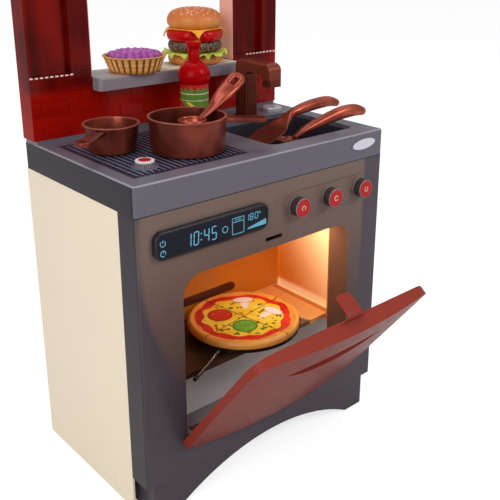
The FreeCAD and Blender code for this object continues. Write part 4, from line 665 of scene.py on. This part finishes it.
def berry_skin():
    """Glossy berries between two purples."""
    f = Finish("berry_skin", 0.10)
    f.colour = f.mix(f.noise(90.0, 2.0), (112, 22, 112), (196, 92, 186))
    f.done(200.0, 0.0002)


def utensil_red():
    """Bright copper-red moulding of the utensils, a little deeper in patches, with painted shade
    on the blade and bowl down in the sink."""
    f = Finish("utensil_red", 0.24, 0.35, Metallic=0.5)
    grip = f.mix(f.step(f.noise(22.0, 2.0), 0.4, 0.65), (148, 62, 44), (190, 92, 68))
    # painted shade on the blade and bowl down in the sink
    f.colour = f.mix(f.step(f.split()[2], 0.530, 0.518), grip, (104, 42, 28))
    f.done(900.0, 0.00003, 0.04)


def display_print():
    """Lit print on the display."""
    f = Finish("display_print", 0.3, colour=(92, 160, 186))
    f.glow(0.30)
    f.done(400.0, 0.00002, 0.05)


PLAIN = (
    ("basin_grey", (52, 48, 56), 0.26, 0.3), ("dark_bezel", (36, 32, 40), 0.22, 0.35),
    ("display_glass", (16, 18, 34), 0.14, 0.2), ("red_face", (188, 16, 24), 0.22, 0.3),
    ("dark_brown", (84, 36, 24), 0.3, 0.3), ("copper_door", (142, 55, 43), 0.3, 0.08),
    ("black_pan", (24, 20, 20), 0.26, 0.5), ("sauce_red", (168, 0, 6), 0.18, 0.08),
    ("cap_red", (172, 2, 8), 0.2, 0.1), ("lettuce_green", (196, 200, 60), 0.4, 0.5),
    ("tomato_red", (190, 4, 6), 0.18, 0.2), ("cheese_yellow", (250, 168, 44), 0.3, 0.4))
for name, colour, rough, specular in PLAIN:
    Finish(name, rough, specular, colour).done(mottle=0.05)
Finish("cream_panel", 0.42, colour=(255, 238, 212)).done(mottle=0.015)
Finish("lamp_glass", 0.3, colour=(255, 236, 190), Emission_Color=(1, 0.8, 0.5, 1),
       Emission_Strength=3.0).done(mottle=0.05)
Finish("steel_pin", 0.3, colour=(170, 170, 172), Metallic=1.0).done(mottle=0.05)
Finish("dial_grey", 0.25, colour=(196, 190, 198), Metallic=0.3).done(mottle=0.05)
Finish("berry_purple", 0.25, colour=(112, 62, 122), Coat_Weight=0.4).done(mottle=0.05)
for make_finish in (smoky_knob, oven_shelf_brown, tart_pastry, smoky_shell, slate_plastic,
                    hob_slate, white_knob, brick_red, shelf_grey, pizza_crust, label_print,
                    oven_lining, patty_brown, bun_tan, leaf_green, berry_skin, utensil_red,
                    display_print):
    make_finish()
copper("copper_brown", (128, 58, 44), (92, 38, 28), 0.27)

slots = {s["node"]: s["material_slot"] for s in frame["record"]["subparts"]}
own = {"tap_spout": fluted_tap()}
for pan in ("small_pan", "large_pan"):
    own[pan] = copper("copper_pan", (142, 66, 51), (94, 37, 27), 0.25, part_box(pan)[1].z)
for name, node in frame["nodes"].items():
    node.data.materials.clear()
    node.data.materials.append(own.get(name, finishes[slots[name]]))


# Display symbols

SEGMENTS = {"0": "abcdef", "1": "bc", "4": "fgbc", "5": "afgcd", "8": "abcdefg"}
LIT_FRONT, LIT_BACK = -156.3, -155.9
DIGIT_LEAN, DIGIT_GAP = 0.06, 0.6


def bar(x0, z0, x1, z1, wide):
    """A thin flat bar between two points of the display, pointed at both ends."""
    a, b = np.array([x0, z0], float), np.array([x1, z1], float)
    tip = unit(b - a) * wide / 2
    side = np.array([-tip[1], tip[0]])
    outline = [a + side, a - tip, a - side, b - side, b + tip, b + side]
    return prism(outline[::-1], LIT_FRONT, LIT_BACK)


def digit(mark, x, z, wide, tall, thick):
    """Up to seven bars, slightly slanted, for one figure."""
    lean, gap, half = tall * DIGIT_LEAN, thick * DIGIT_GAP, tall / 2
    spots = {
        "a": (gap + lean, tall, wide - gap + lean, tall),
        "b": (wide + lean, tall - gap, wide + lean / 2, half + gap),
        "c": (wide + lean / 2, half - gap, wide, gap),
        "d": (gap, 0, wide - gap, 0),
        "e": (0, gap, lean / 2, half - gap),
        "f": (lean / 2, half + gap, lean, tall - gap),
        "g": (gap + lean / 2, half, wide - gap + lean / 2, half),
    }
    return [bar(*np.add(spots[s], (x, z, x, z)), thick) for s in SEGMENTS[mark]]


def make_display_symbols():
    """Clock figures, two round signs, an oven outline, a set temperature and a rising bar."""
    lit = []
    for mark, x in (("1", -165.5), ("0", -153.0), ("4", -135.5), ("5", -122.5)):
        lit += digit(mark, x, 415.5, 7.5, 18.5, 1.7)
    lit += [flat_ring(-140.3, z, 1.2, NEAR_AXIS, LIT_FRONT, LIT_BACK) for z in (420.5, 429.5)]
    for z, opening in ((431.0, (-230, 50)), (417.0, (-30, 300))):
        lit.append(flat_ring(-202.5, z, 4.6, 3.5, LIT_FRONT, LIT_BACK, *opening))
        lit.append(bar(-202.5, z + 1.0, -202.5, z + 4.6, 1.1))
    lit.append(flat_ring(-99.0, 424.5, 5.2, 4.0, LIT_FRONT, LIT_BACK))
    for ends in ((-86, 413, -86, 437), (-65, 413, -65, 437), (-86, 413, -65, 413),
                 (-86, 437, -65, 437), (-86, 431, -65, 431), (-81, 434, -70, 434)):
        lit.append(bar(*ends, 1.1))
    for mark, x in (("1", -61.5), ("8", -53.5), ("0", -44.5)):
        lit += digit(mark, x, 427.5, 5.0, 9.5, 1.1)
    lit.append(flat_ring(-35.5, 435.5, 1.6, 0.8, LIT_FRONT, LIT_BACK))
    lit.append(prism([(-58, 414.5), (-23, 414.5), (-23, 423.0), (-58, 416.5)],
                     LIT_FRONT, LIT_BACK))
    triangles = []
    for points, faces in lit:
        if faces.shape[1] == 4:
            faces = np.vstack((faces[:, [0, 1, 2]], faces[:, [0, 2, 3]]))
        triangles.append((points, faces))
    build_mesh("display_symbols", *join(triangles), "cabinet", "display_glass",
               finishes["display_print"], smooth=False)


def make_knob_signs():
    """Small raised cream sign on each oven knob's face."""
    cream = Finish("sign_cream", 0.4, colour=(240, 214, 190)).done()
    for name, x, arc in (("left", 42.0, (-60, 240)), ("middle", 112.5, (20, 340)),
                         ("right", 183.0, (110, 430))):
        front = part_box("oven_knob_face_" + name)[0].y / MM
        ring = flat_ring(x, 426.0, 4.2, 3.1, front - 0.25, front + 0.05, *arc)
        build_mesh("knob_sign_" + name, *ring, "knob_" + name, "white_knob", cream,
                   smooth=False)


def turned_about(middle, u, v, degrees):
    """Points (u, v) turned by an angle and set out from a middle."""
    c, w = math.cos(math.radians(degrees)), math.sin(math.radians(degrees))
    return np.stack((middle[0] + u * c - v * w, middle[1] + u * w + v * c), -1)


def make_badge():
    """Bare oval plate with a thin darker rim, on the worktop's skirt."""
    half_wide, half_tall, back = 30.0, 9.6, -149.8
    t = np.linspace(0, 2 * np.pi, 64, endpoint=False)
    for name, grow, front, colour in (("skirt_badge_rim", 1.0, -150.45, (96, 92, 120)),
                                      ("skirt_badge", 0.88, -150.7, (222, 220, 232))):
        u = half_wide * grow * np.cos(t)
        v = (half_tall - half_wide * (1 - grow) * 0.35) * np.sin(t)
        plate = Finish(name, 0.3, colour=colour).done(mottle=0.02)
        oval = prism(turned_about((193.0, 496.0), u, v, 2.5), front, back)
        build_mesh(name, *oval, "cabinet", "white_knob", plate, smooth=False)


# Toy food

BURGER = (72.0, 135.0, 0)
CLEFT, CLEFT_WIDTH = math.radians(-119.4), 0.22


def make_lettuce():
    """Ruffled leaf: z = z0 + A(r) sin(n t) with A growing towards the rim, of 1.4 mm leaf."""
    low, high = (c.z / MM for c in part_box("burger_lettuce"))
    profile = [(r, (low + high) / 2) for r in np.linspace(20.0, 56.5, 24)]

    def ruffle(r, z, t):
        grow = np.clip((r - 46.0) / 10.5, 0, 1)
        wave = np.sin(15 * t + 0.8 * np.sin(3 * t)) + 0.5 * np.sin(26 * t + 1.0)
        return r - grow * 2.0 * (1 + np.sin(7 * t)) / 2, z + grow ** 1.3 * wave * 3.6 - grow * 2.2

    points, faces = lathe(profile, BURGER, 240, ruffle)
    piece = build_mesh("lettuce_leaf", points, faces, "burger_lettuce", "lettuce_green",
                       finishes["leaf_green"])
    thicken(piece, 1.4)
    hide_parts("burger_lettuce")


def make_cheese():
    """Square slice turned by its CAD angle; with d the distance from the middle, z falls by
    0.062 (d - 43)^2 past the tomato's edge, so that the corners hang."""
    half, steps, tomato, below_top = 41.0, 45, 43.0, 1.1
    u = np.linspace(-half, half, steps)
    u, v = np.meshgrid(u, u, indexing="ij")
    over = np.clip(np.hypot(u, v) - tomato, 0, None)
    inward = 1 - 0.006 * over
    level = turned_about(BURGER, u * inward, v * inward, 15.6)
    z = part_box("burger_cheese")[1].z / MM - below_top - 0.062 * over ** 2
    points = np.column_stack((level.reshape(-1, 2), z.ravel()))
    piece = build_mesh("cheese_slice", points, grid_faces(steps, steps), "burger_cheese",
                       "cheese_yellow")
    thicken(piece, 2.0)
    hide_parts("burger_cheese")


def make_soft_drum(node, slot, ripple, lobes, cleft=0.0):
    """Round layer with a full side: r = R - a s (1 + sin(n t + sin 2t)) / 2, where s is
    (r / R)^4, and a cleft in front takes cleft exp(-(d / 0.22)^2) off it, d being the angle
    from the cleft."""
    low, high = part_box(node)
    radius = (high.x - low.x) / 2 / MM
    z0, z1 = low.z / MM, high.z / MM
    soft, bulge = (z1 - z0) * 0.4, 1.5
    profile = smooth_profile([
        (NEAR_AXIS, z0), (radius * 0.6, z0), (radius - soft, z0),
        (radius - soft * 0.3, z0 + soft * 0.3), (radius - bulge * 0.2, (z0 + z1) / 2),
        (radius - soft * 0.3, z1 - soft * 0.3), (radius - soft, z1), (radius * 0.6, z1),
        (NEAR_AXIS, z1)], 6, z0, z1)

    def wobble(r, z, t):
        share = np.clip(r / radius, 0, 1) ** 4
        away = (t - CLEFT + np.pi) % (2 * np.pi) - np.pi
        notch = cleft * np.exp(-(away / CLEFT_WIDTH) ** 2)
        return r - share * (ripple * (1 + np.sin(lobes * t + np.sin(2 * t))) / 2 + notch), z

    points, faces = lathe(profile, BURGER, 180, wobble)
    piece = build_mesh(node + "_form", points, faces, node, slot)
    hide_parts(node)


def make_bun_top():
    """Domed bun: the profile's shares of radius and height, and a slow unevenness of the side."""
    low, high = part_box("bun_top")
    radius, tall, base = (high.x - low.x) / 2 / MM, (high.z - low.z) / MM, low.z / MM
    shares = [(0.01, 0.0), (0.78, 0.0), (0.93, 0.07), (1.0, 0.27), (0.98, 0.5), (0.88, 0.73),
              (0.69, 0.89), (0.38, 0.98), (0.01, 1.0)]
    profile = smooth_profile(shares, 8, 0, 1).clip(0, 1) * (radius, tall) + (0, base)

    def wobble(r, z, t):
        return r * (1 - 0.006 * (1 + np.sin(3 * t + 1.0))), z

    points, faces = lathe(profile, BURGER, 160, wobble)
    piece = build_mesh("bun_top_form", points, faces, "bun_top", "bun_tan")
    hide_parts("bun_top")
    return profile


def make_seeds(profile):
    """Sesame seeds on the dome, one per even step of a golden-angle spiral, slightly uneven and
    sunk a little into the crust."""
    count, reach, golden, sunk = 84, 43.0, 2.39996, 0.15
    upper = profile[np.argmax(profile[:, 0]):][::-1]
    k = np.arange(count)
    r = reach * np.sqrt((k + 0.5) / count) + random.uniform(-1, 1, count)
    t = k * golden + random.uniform(-0.12, 0.12, count)
    z, outside, inside = (np.interp(r + d, upper[:, 0], upper[:, 1]) for d in (0.0, 0.5, -0.5))
    fall = outside - inside
    up = unit(np.stack((-fall * np.cos(t), -fall * np.sin(t), np.ones(count)), -1))
    spin = random.uniform(0, 2 * np.pi, count)
    side = np.stack((np.cos(spin), np.sin(spin), np.zeros(count)), -1)
    side = unit(side - up * (side * up).sum(1)[:, None])
    turns = np.stack((side, np.cross(up, side), up), -1)
    centres = np.stack((BURGER[0] + r * np.cos(t), BURGER[1] + r * np.sin(t), z), -1)
    sizes = np.tile((2.0, 1.1, 0.6), (count, 1))
    points, faces = ellipsoids(centres - up * sunk, sizes, turns, 7, 10)
    points[:, 2] = np.minimum(points[:, 2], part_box("bun_top")[1].z / MM)
    seed = Finish("seed_cream", 0.45, colour=(240, 208, 150)).done()
    build_mesh("bun_seeds", points, faces, "bun_top", "bun_tan", seed)


def make_berries():
    """Berries heaped in rings over the tart's filling."""
    low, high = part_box("tart_crust")
    centre = np.array([(low.x + high.x) / 2, (low.y + high.y) / 2]) / MM
    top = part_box("tart_filling")[1].z / MM
    rim = high.z / MM
    spots = []
    for radius, count, level in ((36.0, 20, rim - 1.0), (26.5, 15, rim + 2.0),
                                 (16.5, 10, rim + 4.0), (7.0, 5, rim + 5.0), (0.0, 1, rim + 4.5)):
        t = np.arange(count) * 2 * np.pi / count + radius
        spots.append(np.stack((centre[0] + radius * np.cos(t), centre[1] + radius * np.sin(t),
                               np.full(count, level)), -1))
    spots = np.vstack(spots)
    spots = spots + random.uniform(-0.7, 0.7, spots.shape)
    size = random.uniform(5.4, 6.3, len(spots))
    spots[:, 2] = np.minimum(spots[:, 2], top - size + 2.0)
    points, faces = ellipsoids(spots, np.stack((size, size, size), -1), None, 13, 18)
    build_mesh("tart_berries", points, faces, "tart", "berry_purple", finishes["berry_skin"])


def make_tart_crust():
    """Fluted crust: r = R(z) + 1.3 cos(n t) over the side, closed over a rounded rim and down
    inside to the filling."""
    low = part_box("tart_crust")[0].z / MM
    profile = [(0, 0), (20, 0), (36.4, 0), (38.6, 1.6), (42.0, 10), (47.2, 22.4), (49.4, 25.2),
               (48.6, 26.2), (46.2, 25.4), (43.4, 19), (42.6, 12), (20, 10), (0, 10)]
    profile = smooth_profile(np.add(profile, (0, low)), 7, low, low + 26.3)

    def flute(r, z, t):
        wall = np.clip((r - 30) / 6, 0, 1)
        return r + wall * 1.3 * np.cos(FLUTES * t), z

    points, faces = lathe(profile, (TART[0] / MM, TART[1] / MM, 0), FLUTES * 12, flute)
    piece = build_mesh("tart_crust_form", points, faces, "tart", "pastry")
    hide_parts("tart_crust")


# Utensils and fittings

def turned_rows(origin, angle, rows):
    """Rows of (distance, height, wide, deep, power, and roll if any) set out from origin along
    a level angle, and the level side of that line."""
    rows = np.asarray(rows, float)
    rows = np.pad(rows, ((0, 0), (0, 6 - rows.shape[1])))
    c, w = math.cos(math.radians(angle)), math.sin(math.radians(angle))
    x, y = origin[0] + rows[:, 0] * c, origin[1] + rows[:, 0] * w
    return np.stack((x, y, origin[2] + rows[:, 1], *rows[:, 2:].T), -1), (-w, c, 0.0)


def dish(origin, radius, depth, wall, stretch=1.0):
    """Round bowl open at the top: an elliptic outer profile up to a rounded rim and an inner
    one back to the middle; stretch lengthens it along X."""
    a = np.linspace(0, np.pi / 2, 14)
    outer = np.stack((radius * np.sin(a), -depth * np.cos(a)), -1)
    inner = np.stack(((radius - wall) * np.sin(a), (wall - depth) * np.cos(a)), -1)[::-1]
    rim = [[radius - wall / 2, wall * 0.35]]
    points, faces = lathe(np.vstack((outer, rim, inner)), (0, 0, 0), 72)
    return points * (stretch, 1, 1) + np.asarray(origin), faces


def slot_loop(end, reach, side, lean, slope):
    """Loop round a slot at the end of a grip: its line is two half circles joined by straight
    runs on the grip's slope, and its section is an oval. Distances are measured level."""
    bend, first, last, across, deep, rings, sides = 8.0, 95.0, 110.0, 5.4, 4.4, 72, 20
    t = np.linspace(-np.pi / 2, np.pi / 2, 12)
    far = np.stack((last + bend * np.cos(t), bend * np.sin(t)), -1)
    near = np.stack((first - bend * np.cos(t), -bend * np.sin(t)), -1)
    line = np.vstack((far, near, far[:1]))
    run = run_along(line)
    u = np.linspace(0, run[-1], rings, endpoint=False)
    d, off = (np.interp(u, run, column)[:, None] for column in line.T)
    path = unit(np.array([side[1], -side[0], slope]))
    turn = math.radians(lean)
    broad = np.array(side) * math.cos(turn) + np.cross(path, side) * math.sin(turn)
    up = np.cross(path, broad)
    scale = 1.146 / math.hypot(1, slope)
    centre = end + (d - reach) * scale * path + off * broad
    along = unit(np.roll(centre, -1, 0) - np.roll(centre, 1, 0))
    a = np.linspace(0, 2 * np.pi, sides, endpoint=False)[None, :, None]
    grid = (centre[:, None] + across * np.cos(a) * np.cross(along, up)[:, None]
            + deep * np.sin(a) * up)
    return grid.reshape(-1, 3), grid_faces(rings, sides, closed_rows=True, closed_columns=True)


def make_ladle():
    """Bowl, a grip that widens as it rises over the pan's rim, and a loop round a slot."""
    origin, lean = (-79.8, -59.0, 556.3), 32.0
    grip = [(16, 1.0, 9, 4, 2.6, 0), (30, 6.0, 13, 5.4, 2.6, 0), (46, 12.8, 17, 7, 2.6, 0),
            (62, 22.0, 21, 8.4, 2.6, lean / 2), (78, 30.8, 24, 9.4, 2.6, lean),
            (96, 39.6, 26, 9.6, 2.6, lean)]
    rows, side = turned_rows(origin, 14.5, grip)
    bowl = dish((*origin[:2], origin[2] + 4.0), 21.0, 20.0, 2.4)
    loop = slot_loop(rows[-1, :3], grip[-1][0], side, lean, 0.56)
    points, faces = join([bowl, sweep(rows, side), loop])
    piece = build_mesh("ladle_form", points, faces, "ladle", "copper_brown",
                       finishes["utensil_red"])
    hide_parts("ladle")


def make_sink_utensils():
    """Spatula and spoon: broad arched grips over the sink's edge, one running down into a flat
    blade and one into a long bowl."""
    rows, side = turned_rows((132.0, -41.0, 529.0), 3.0, [
        (-79, -28.9, 50, 2.2, 7), (-60, -22.6, 52, 2.4, 7), (-36, -13.4, 50, 2.6, 7),
        (-16, -3.0, 27, 5.4, 5), (0, 4.6, 15, 12, 3), (18, 9.3, 17, 16, 2.3),
        (34, 11.6, 18, 18, 2.2), (56, 13.6, 19, 19, 2.2), (83, 14.4, 19, 19, 2.2),
        (100, 12.8, 19, 17, 2.2), (118.4, 7.4, 17, 12, 2.3)])
    points, faces = sweep(rows, side, 1.5, 5.0, 96)
    piece = build_mesh("spatula_form", points, faces, "spatula", "copper_brown",
                       finishes["utensil_red"])
    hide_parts("spatula")
    origin = (78.0, -92.0, 516.0)
    rows, side = turned_rows(origin, -1.5, [
        (13, -4.2, 10, 4, 2.6), (24, -0.4, 12, 8, 2.5), (38, 4.4, 14, 12, 2.3),
        (66, 11.4, 17, 16, 2.2), (95, 17.6, 19, 19.5, 2.2), (122, 21.4, 20, 21.5, 2.2),
        (146, 21.8, 20, 20.5, 2.2), (160, 19.6, 19, 17.5, 2.2), (171.8, 16.0, 17, 13, 2.3)])
    bowl = dish((*origin[:2], origin[2] - 4.0), 16.0, 8.0, 1.7, 1.1)
    points, faces = join([bowl, sweep(rows, side, 3.0, 5.0, 96)])
    piece = build_mesh("serving_spoon_form", points, faces, "serving_spoon", "copper_brown",
                       finishes["utensil_red"])
    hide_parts("serving_spoon")


HINGE_Y, HINGE_Z = -142.0, 113.0


def make_latch_tongue():
    """Tongue concentric with the hinge: in polar places (r, turn) about it, a riser with a
    flared foot on the door's edge, then a plate at a steady radius with a rounded tip."""
    places = np.array([(259.8, 50.03, 56, 3.4, 5), (262.5, 50.03, 43, 3.4, 5),
                       (266.0, 50.06, 35, 3.4, 5), (269.6, 50.3, 31.5, 3.4, 5),
                       (270.9, 51.0, 29.8, 3.6, 5), (271.0, 53.0, 29.4, 3.8, 5),
                       (271.0, 55.5, 29.0, 3.8, 5), (271.0, 57.8, 28.0, 3.6, 5)])
    r, turn = places[:, 0], np.radians(places[:, 1])
    rows = np.column_stack((np.zeros(len(r)), HINGE_Y - r * np.cos(turn),
                            HINGE_Z + r * np.sin(turn), places[:, 2:], np.zeros(len(r))))
    points, faces = sweep(rows, (1.0, 0, 0), 0.3, 5.0, 80, 32)
    piece = build_mesh("latch_tongue_form", points, faces, "oven_door", "copper_door")
    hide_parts("latch_tongue")


def make_side_edges():
    """Straight lower edge of each cream side: the low arch z = sqrt(R^2 - (y - m)^2) - R + rise
    is filled from its curve down to the floor, and a little past the curve."""
    first, last, rise, steps, past, floor = -63.0, 104.0, 16.0, 48, 0.6, 0.05
    middle, half = (first + last) / 2, (last - first) / 2
    radius = (half ** 2 + rise ** 2) / (2 * rise)
    y = np.linspace(first, last, steps)
    z = np.sqrt(radius ** 2 - (y - middle) ** 2) - radius + rise
    outline = np.vstack((np.stack((y, np.full(steps, floor)), -1),
                         np.stack((y, z + past), -1)[::-1]))
    for name, near, far in (("left", -238.95, -236.2), ("right", 236.2, 238.95)):
        points, faces = prism(outline, near, far)
        build_mesh("side_edge_" + name, points[:, [1, 0, 2]], faces, "cabinet", "cream_panel",
                   smooth=False)


make_display_symbols()
make_knob_signs()
make_side_edges()
make_latch_tongue()
make_tart_crust()
make_ladle()
make_sink_utensils()
make_badge()
make_lettuce()
make_cheese()
make_soft_drum("burger_patty", "patty_brown", 2.5, 17)
make_soft_drum("burger_tomato", "tomato_red", 1.2, 4, 9.0)
make_soft_drum("bun_bottom", "bun_tan", 0.6, 3)
make_seeds(make_bun_top())
make_berries()


# Studio

def make_floor():
    """White floor that keeps the shadow: diffuse light, and a glow of its own for the camera
    and, weaker, for glossy reflections."""
    size, level = 12000.0, -0.3
    corners = np.array([(-size, -size, level), (size, -size, level), (size, size, level),
                        (-size, size, level)])
    mesh = bpy.data.meshes.new("studio_floor")
    mesh.from_pydata((corners * MM).tolist(), [], [(0, 1, 2, 3)])
    mat = bpy.data.materials.new("studio_white")
    mat.use_nodes = True
    tree = mat.node_tree
    tree.nodes.clear()
    matte, lift, rays, both, out = (tree.nodes.new("ShaderNode" + kind) for kind in (
        "BsdfDiffuse", "Emission", "LightPath", "AddShader", "OutputMaterial"))
    matte.inputs["Color"].default_value = (0.60, 0.60, 0.61, 1)
    reflected = maths(tree, "MULTIPLY", rays.outputs["Is Glossy Ray"], 0.2)
    seen = maths(tree, "MAXIMUM", rays.outputs["Is Camera Ray"], reflected)
    wire(tree, lift.inputs["Strength"], maths(tree, "MULTIPLY", seen, 0.70))
    wire(tree, both.inputs[0], matte.outputs[0])
    wire(tree, both.inputs[1], lift.outputs[0])
    wire(tree, out.inputs["Surface"], both.outputs[0])
    mesh.materials.append(mat)
    floor = new_object("studio_floor", mesh)


def make_world():
    """Soft grey light all round, white to the camera and through clear things."""
    world = bpy.data.worlds.new("studio")
    bpy.context.scene.world = world
    world.use_nodes = True
    tree = world.node_tree
    back = tree.nodes["Background"]
    rays = tree.nodes.new("ShaderNodeLightPath").outputs
    clear = maths(tree, "MAXIMUM", rays["Is Camera Ray"], rays["Is Transmission Ray"])
    wire(tree, back.inputs["Strength"], maths(tree, "MULTIPLY_ADD", clear, 0.55, 0.45))
    back.inputs["Color"].default_value = (1, 1, 1, 1)


def stand(thing, right, up, back, place):
    """Sets an object's three axes and its place."""
    turn = np.eye(4)
    turn[:3] = np.stack((right, up, back, place), -1)
    thing.matrix_world = Matrix(turn.tolist())


def lamp(name, place, aim, size, power):
    """A square soft lamp at place, pointed at aim."""
    light = bpy.data.lights.new(name, "AREA")
    light.size, light.energy = size, power
    back = unit(np.subtract(place, aim, dtype=float))
    right = unit(np.cross((0, 0, 1), back))
    stand(new_object(name, light), right, np.cross(back, right), back, place)


def make_oven_lamp():
    """A small warm lamp under the oven's roof."""
    light = bpy.data.lights.new("oven_lamp", "POINT")
    light.energy, light.color, light.shadow_soft_size = 0.36, (1.0, 0.84, 0.60), 0.012
    new_object("oven_lamp", light).location = (0.12, -0.075, 0.345)


def make_camera():
    """The photograph's viewpoint: row vectors of the turn are right, down and forward."""
    right = (0.733832, -0.679202, 0.013419)
    down = (-0.205794, -0.241077, -0.948438)
    forward = (0.647412, 0.693233, -0.316682)
    lens = bpy.data.cameras.new("camera")
    lens.sensor_width, lens.lens = 36.0, 54.659
    lens.shift_x, lens.shift_y = -0.06, -0.12
    lens.clip_start, lens.clip_end = 0.05, 60.0
    camera = new_object("camera", lens)
    stand(camera, right, np.negative(down), np.negative(forward), (-0.7133, -0.924, 0.8109))
    bpy.context.scene.camera = camera


make_floor()
make_world()
lamp("key", (1.5, -2.6, 2.3), (0, 0, 0.4), 1.4, 36.0)
lamp("fill", (-2.4, -1.2, 1.5), (0, 0, 0.4), 1.8, 34.0)
lamp("top", (0.0, 0.5, 2.8), (0, 0, 0.5), 1.6, 20.0)
make_oven_lamp()
make_camera()
bpy.context.scene.view_settings.view_transform = "Standard"
